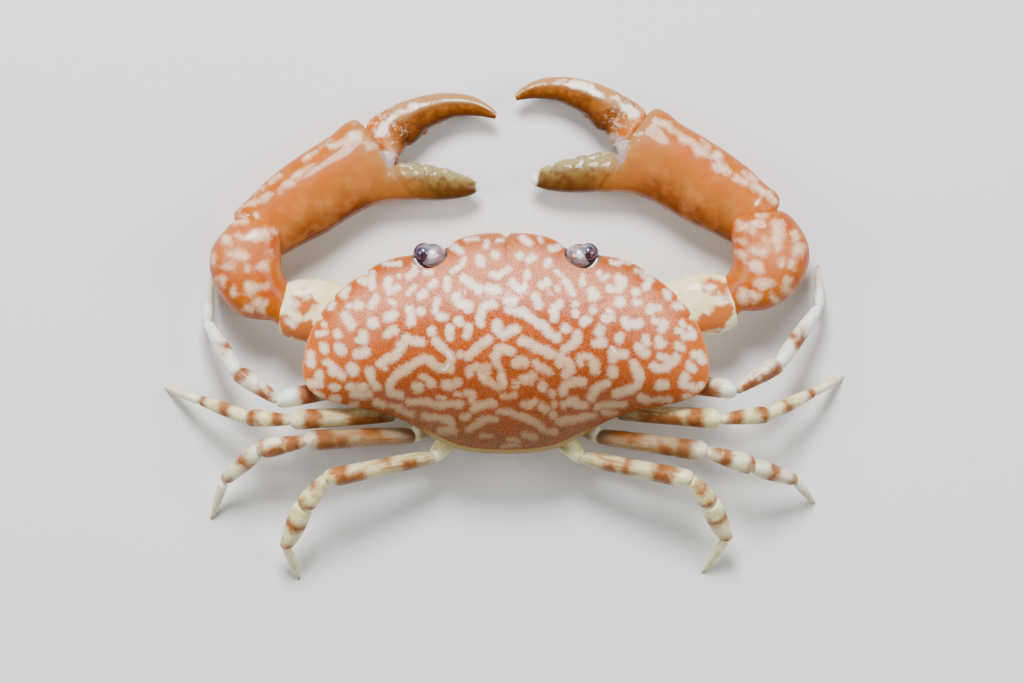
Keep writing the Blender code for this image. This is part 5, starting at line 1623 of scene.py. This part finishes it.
def finger_finish():
    """Amber that darkens inward, with a pale ridge, a painted highlight along it and painted sheen near the root.
    """
    paint = claw_base("finger_amber", 0.32)
    rise, value = paint.rise, paint.value
    far, outer, clouds = value("along"), value("edge"), paint.noise(0.9, 4.0, 0.6)
    amber = paint.layers(
        (135, 78, 19), (rise(clouds, 0.35, 0.65), (102, 50, 6)), (rise(outer, 0.0, -0.8) * 0.7, (68, 28, 4))
    )
    ridge = rise(outer + (clouds - 0.5) * 0.3, 0.0, 0.55) * rise(far, 0.20, 0.42)
    # A thin painted highlight along the outer ridge
    line = rise(outer, 0.28, 0.38) * rise(outer, 0.54, 0.44) * rise(far, 0.42, 0.55)
    # Pale patches near the root on the inner side: painted sheen
    root_sheen = paint.patches(0.4, 0.52, 0.62, 4.0, 0.7) * rise(far, 0.50, 0.25) * rise(far, 0.02, 0.14)
    paint.colour(
        (194, 92, 2),
        (rise(clouds, 0.4, 0.6), (208, 142, 84)),
        (rise(far + (clouds - 0.5) * 0.2, 0.12, 0.36), amber),
        (ridge * 0.8, paint.layers((170, 114, 60), (clouds, (192, 145, 96)))),
        # The painted highlight along the ridge
        (line * rise(clouds, 0.42, 0.58) * 0.75, (252, 244, 232)),
        # White marks, and painted sheen along the upper edge
        (rise(value("mark") + (clouds - 0.5) * 0.9, -0.2, 0.3) * 0.9, (255, 242, 226)),
        (rise(value("soft"), 0.0, 0.5), (168, 146, 138)),
        # Painted sheen near the root
        (root_sheen * rise(outer, -0.8, -0.2) * 0.45, (250, 232, 212)),
    )
    return paint


def arm_finish():
    """Cream with orange patches and pale marks."""
    paint = claw_base("arm_cream")
    paint.colour(
        (255, 244, 200),
        (paint.patches(1.4, 0.4, 0.65, 4.0, 0.55), (246, 224, 164)),
        (paint.rise(paint.value("warm") + paint.wobble(0.8, 1.6, 4.0), -0.30, 0.30) * 0.95, (184, 88, 3)),
        (marks(paint, 0.9), (255, 244, 226)),
    )
    return paint


wrist_paint, palm_paint, finger_paint, arm_paint = wrist_finish(), palm_finish(), finger_finish(), arm_finish()
print("claw finishes:", [paint.material.name for paint in (wrist_paint, palm_paint, finger_paint, arm_paint)])

# %% Claw arms
ARM_CAP, PALM_CAP, COXA_CAP, WRIST_CAP = 0.16, 0.12, 0.12, 0.3
ARM_SUNK, WRIST_GAP = 0.6, 0.45
WRIST_SHEEN, SHEEN_REACH = (26.6, -9.2), 3.6
FIXED_ROOT_TOP = -2.3
NO_STROKE, CLAW_WOBBLE, STROKE_FADE = -2.0, 0.5, 0.6


def store_strokes(mesh, level=0.0, **strokes):
    """Stores how deep each point lies in each set of strokes, which fade out below a level."""
    points = mesh_points(mesh)
    fade = STROKE_FADE * np.clip(level - points[:, 2], 0, None)
    depths = {name: depth_in_strokes(points, paths, NO_STROKE, CLAW_WOBBLE) for name, paths in strokes.items()}
    paint_values(mesh, **{name: depth - fade for name, depth in depths.items()})
    return points


for side_name, side in SIDES.items():
    arm_name = f"cheliped_{side_name}"
    wrist = np.asarray(WRISTS[side_name])
    base, elbow, _ = np.array(CHELIPED_ARM) * (side, 1, 1)
    hand = np.array([*(wrist[0, :2] * ARM_AIM + wrist[0, 2:4] * (1 - ARM_AIM)), WRIST_LEVEL])
    run = unit(hand - elbow)

    rings = arm_rings(base - (ARM_SUNK * side, 0, 0), elbow - run * HALF_GAP, ARM_COXA_PROFILE, 40)
    mesh = capped_skin("coxa", rings, COXA_CAP)
    plain = np.full(len(mesh.vertices), NO_STROKE)
    paint_values(mesh, mark=plain, warm=plain)
    finish_shell(f"{arm_name}_coxa", mesh, arm_paint, "arm")

    rings = arm_rings(elbow + run * HALF_GAP, hand + run * WRIST_GAP, ARM_MERUS_PROFILE, CLAW_ROWS)
    mesh = capped_skin("merus", rings, ARM_CAP)
    store_strokes(mesh, mark=arm_strokes, warm=arm_warm_strokes)
    finish_shell(f"{arm_name}_merus", mesh, arm_paint, "arm")

    mesh = capped_skin("carpus", [wrist_ring(row) for row in finer(wrist, CLAW_ROWS)], WRIST_CAP, steps=6)
    points = store_strokes(mesh, WRIST_LEVEL, mark=wrist_strokes)
    # Where the pink painted sheen lies on the top of the wrist
    from_flush = np.hypot(points[:, 0] - WRIST_SHEEN[0] * side, points[:, 1] - WRIST_SHEEN[1])
    paint_values(mesh, flush=ramp(from_flush, SHEEN_REACH, 0))
    finish_shell(f"{arm_name}_carpus", mesh, wrist_paint, "wrist")

    rings, us, vs = palm_rings(side_name)
    low, high = vs.min(axis=1)[:, None], np.minimum(vs.max(axis=1), FIXED_ROOT_TOP)[:, None]
    values = {"along": us, "across": vs, "lower": ramp(vs, high, low)}
    mesh = on_the_floor(capped_skin("palm", rings, PALM_CAP, values))
    store_strokes(mesh, CHELA_HEIGHTS[0], mark=palm_strokes)
    store_strokes(mesh, soft=membrane_strokes)
    finish_shell(f"{arm_name}_palm", mesh, palm_paint, "palm")

    rings, edges = finger_rings(side_name)
    mesh = capped_skin("finger", rings, PALM_CAP, {"along": np.linspace(0, 1, len(rings)), "edge": edges})
    store_strokes(mesh, mark=finger_mark_and_sheen_strokes, soft=membrane_strokes)
    finish_shell(f"{arm_name}_finger", mesh, finger_paint, "finger")
print("pieces with claws:", len(made_pieces))

# %% [markdown]
# ## Soft skin, knuckles and teeth of the claws
# The hinge of the finger shows a grey, folded skin in a three-cornered gap and a pale knuckle above it. A
# short sleeve closes each other joint. Rounded cusps follow the two cutting edges, amber on the movable
# finger and olive on the fixed one. A Geometry Nodes tree sets them along a path that stores the size and
# the lean of every cusp.

# %% Rows of cusps
CUSP_WIDTH, CUSP_HEIGHT, CUSP_SUNK, CUSP_SIZES = 0.50, 0.46, 0.04, (1.1, 0.75)
cusp_tree = Growth("cusp_row")
cusp_width, cusp_height = cusp_tree.size("Cusp width"), cusp_tree.size("Cusp height")
cusp_finish = cusp_tree.size("Finish", "Material")
aim = cusp_tree.node("GeometryNodeInputNamedAttribute", {"data_type": "FLOAT_VECTOR"}, {"Name": "aim"})
share = cusp_tree.node("GeometryNodeInputNamedAttribute", {"data_type": "FLOAT"}, {"Name": "size"})
turned = cusp_tree.node("FunctionNodeAlignRotationToVector", {"axis": "Z"}, {"Vector": aim})
cusp = cusp_tree.node("GeometryNodeMeshUVSphere", sockets={"Segments": 14, "Rings": 10, "Radius": 1.0})
across = share * cusp_width
scale = cusp_tree.node("ShaderNodeCombineXYZ", sockets={0: across, 1: across, 2: share * cusp_height})
cusps = {"Points": cusp_tree.base, "Instance": cusp, "Rotation": turned, "Scale": scale}
cusp_tree.close(cusp_tree.node("GeometryNodeInstanceOnPoints", sockets=cusps), cusp_finish)


def cusp_row(name, points, aim, slot, paint):
    """Rounded cusps along a cutting edge, smaller to its tip; points in millimetres of the body frame."""
    path = bpy.data.meshes.new(name)
    path.from_pydata((points * MM + ORIGIN).tolist(), [(i, i + 1) for i in range(len(points) - 1)], [])
    paint_values(path, size=np.linspace(*CUSP_SIZES, len(points)))
    aims = np.tile(aim, len(points)).astype(np.float32)
    path.attributes.new("aim", "FLOAT_VECTOR", "POINT").data.foreach_set("vector", aims)
    sizes = {"Cusp width": CUSP_WIDTH * MM, "Cusp height": CUSP_HEIGHT * MM, "Finish": paint.material}
    finish_piece(name, cusp_tree.grow(path, sizes), paint, slot)


pale_tooth_paint = cream_finish("tooth_olive", (195, 186, 139), (167, 139, 80), (112, 76, 30), 0.22)
amber_tooth_paint = cream_finish("tooth_amber", (136, 74, 17), (98, 45, 6), (67, 27, 4), 0.3)
# Tips of the cusps in the drawing, on the movable finger and on the fixed one
CUSP_TIPS = {
    "left": (
        ((411.4, 143.6), (425.7, 134.0), (441.4, 123.9)),
        ((408, 163.6), (424.3, 164.6), (442.9, 167.4), (464.3, 174.6)),
    ),
    "right": (
        ((600, 129), (585.8, 118), (566.7, 105.6)),
        ((611, 152.3), (593.3, 157), (566.7, 160.3), (548.3, 167)),
    ),
}
print("cusps:", CUSP_WIDTH, "by", CUSP_HEIGHT, "mm")

# %% Hinge skins, knuckles and cusps
HINGE_CORNERS = np.array([(14.15, -0.15), (15.35, -1.35), (13.7, -2.45)])
HINGE_LEVEL, HINGE_THICKNESS, HINGE_SIDES, HINGE_ROWS = 1.05, 0.75, 28, 24
KNUCKLE, KNUCKLE_RADII = (13.75, 0.6, 1.15), (0.55, 0.40, 0.55)
SLEEVE_HALF, SLEEVE_SHARE, SLEEVE_CAP, SLEEVE_ROWS = 0.42, 0.93, 0.15, 9
hinge_paint = cream_finish("hinge_skin", (190, 170, 166), (140, 112, 104), (84, 64, 60), 0.28)
knuckle_paint = cream_finish("knuckle_cream", (250, 236, 220), (238, 150, 84), (180, 110, 60), 0.28)


def hinge_rings(to_body):
    """A folded, three-cornered skin that narrows from its upper edge to its lower corner."""
    start, end, corner = HINGE_CORNERS
    across, up = section(HINGE_SIDES, 2)
    rings = []
    for at in np.linspace(0, 1, HINGE_ROWS):
        wide = (end - start) / 2 * (1 - 0.9 * at) * (1 + 0.04 * math.sin(at * 13 + 1))
        flat = (start + end) / 2 * (1 - at) + corner * at + across[:, None] * wide
        thick = HINGE_THICKNESS * (1 - 0.25 * at) * (1 + 0.08 * math.sin(at * at * 15))
        rings.append(to_body(flat[:, 0], flat[:, 1], HINGE_LEVEL + up * thick))
    return rings


def wrist_sleeves(rows):
    """Short sleeves that run out of both ends of the wrist."""
    sleeves = []
    for ring, inside in ((wrist_ring(rows[0]), wrist_ring(rows[1])), (wrist_ring(rows[-1]), wrist_ring(rows[-2]))):
        middle = ring.mean(axis=0)
        out = unit(middle - inside.mean(axis=0)) * SLEEVE_HALF
        rings = [middle + (ring - middle) * SLEEVE_SHARE + out * at for at in np.linspace(-1, 1, SLEEVE_ROWS)]
        sleeves.append(capped_skin("sleeve", rings, SLEEVE_CAP))
    return merged("sleeves", sleeves)


for side_name in SIDES:
    arm_name, to_body = f"cheliped_{side_name}", chela_frame(side_name)
    hinge = capped_skin("hinge", hinge_rings(to_body), 0.2)
    finish_piece(f"{arm_name}_hinge_skin", hinge, hinge_paint, "finger")
    finish_piece(f"{arm_name}_joint_skin", wrist_sleeves(WRISTS[side_name]), membrane_paint, "wrist")
    knuckle = ball("knuckle", to_body(*KNUCKLE), KNUCKLE_RADII, 28, 17)
    finish_piece(f"{arm_name}_knuckle", knuckle, knuckle_paint, "palm")

    up_the_palm = to_body(0.0, 1.0, 0.0) - to_body(0.0, 0.0, 0.0)
    aims, paints = (-up_the_palm, up_the_palm), (amber_tooth_paint, pale_tooth_paint)
    for slot, tips, aim, paint in zip(("finger", "palm"), CUSP_TIPS[side_name], aims, paints):
        flat = np.array([from_drawing(*tip) for tip in tips])
        level = to_body(np.linalg.norm(flat - CHELAE[side_name]["wrist"], axis=1), 0.0, 0.0)[:, 2]
        points = np.column_stack([flat, level]) - aim * (CUSP_HEIGHT - CUSP_SUNK)
        cusp_row(f"{arm_name}_{slot}_cusps", points, aim, slot, paint)
print("pieces with joints and teeth:", len(made_pieces))

# %% [markdown]
# ## Floor, light and camera
# The crab stands on a plain pale floor. One soft light in front and above makes the shine on the front
# half of the shell, over the pink painted sheen there. Two weaker ones at the sides lift the claws and the
# legs, and a pale sky does the rest. The camera looks straight down from far away, so that legs and shell
# keep their true proportions.

# %% Floor
FLOOR_HALF = 1.2
floor_mesh = bpy.data.meshes.new("floor")
corners = [(x * FLOOR_HALF, y * FLOOR_HALF, 0) for x, y in ((-1, -1), (1, -1), (1, 1), (-1, 1))]
floor_mesh.from_pydata(corners, [], [(0, 1, 2, 3)])
floor_paint = Finish("floor_pale", roughness=0.8, specular=0.2)
floor_paint.colour((228, 228, 228), (floor_paint.noise(60.0, 2.0), (233, 233, 232)))
floor_mesh.materials.append(floor_paint.material)
placed("floor", floor_mesh)
print("floor:", 2 * FLOOR_HALF, "m square")

# %% Light
CRAB_TOP = Vector((0.0, 0.0, 0.012))
# Place, width and power of each lamp in metres and watts, and its colour
LAMPS = {
    "front_softbox": ((0.03, -0.27, 0.33), 0.15, 3.4, (1.0, 0.98, 0.95)),
    "left_softbox": ((0.30, -0.02, 0.26), 0.20, 0.7, (1.0, 0.99, 0.97)),
    "right_softbox": ((-0.30, -0.02, 0.26), 0.20, 0.7, (1.0, 0.99, 0.97)),
}
for name, (place, size, power, colour) in LAMPS.items():
    lamp = bpy.data.lights.new(name, "AREA")
    lamp.shape, lamp.size, lamp.energy, lamp.color = "DISK", size, power, colour
    holder = placed(name, lamp)
    holder.location = place
    holder.rotation_euler = (CRAB_TOP - Vector(place)).to_track_quat("-Z", "Y").to_euler()
world = bpy.data.worlds.new("pale_room")
world.use_nodes = True
sky = world.node_tree.nodes["Background"].inputs
sky["Color"].default_value, sky["Strength"].default_value = (0.86, 0.88, 0.9, 1.0), 0.22
bpy.context.scene.world = world
print("lights:", list(LAMPS))

# %% Camera
SENSOR = 36.0
IMAGE_WIDTH, IMAGE_HEIGHT = 1024, 683
CAMERA_DISTANCE, FOCUS_LEVEL = 2.4, 8.0
view_x, view_y = from_drawing(IMAGE_WIDTH / 2, IMAGE_HEIGHT / 2)
camera = bpy.data.cameras.new("camera_above")
camera.sensor_width = SENSOR
camera.lens = SENSOR * CAMERA_DISTANCE / (IMAGE_WIDTH / DRAWING_SCALE * MM)
holder = placed("camera_above", camera)
holder.location = ORIGIN + np.array([view_x, view_y, FOCUS_LEVEL]) * MM + np.array([0, 0, CAMERA_DISTANCE])
holder.rotation_euler = (0.0, 0.0, math.pi)
bpy.context.scene.camera = holder
print("lens", round(camera.lens, 1), "mm at", CAMERA_DISTANCE, "m")
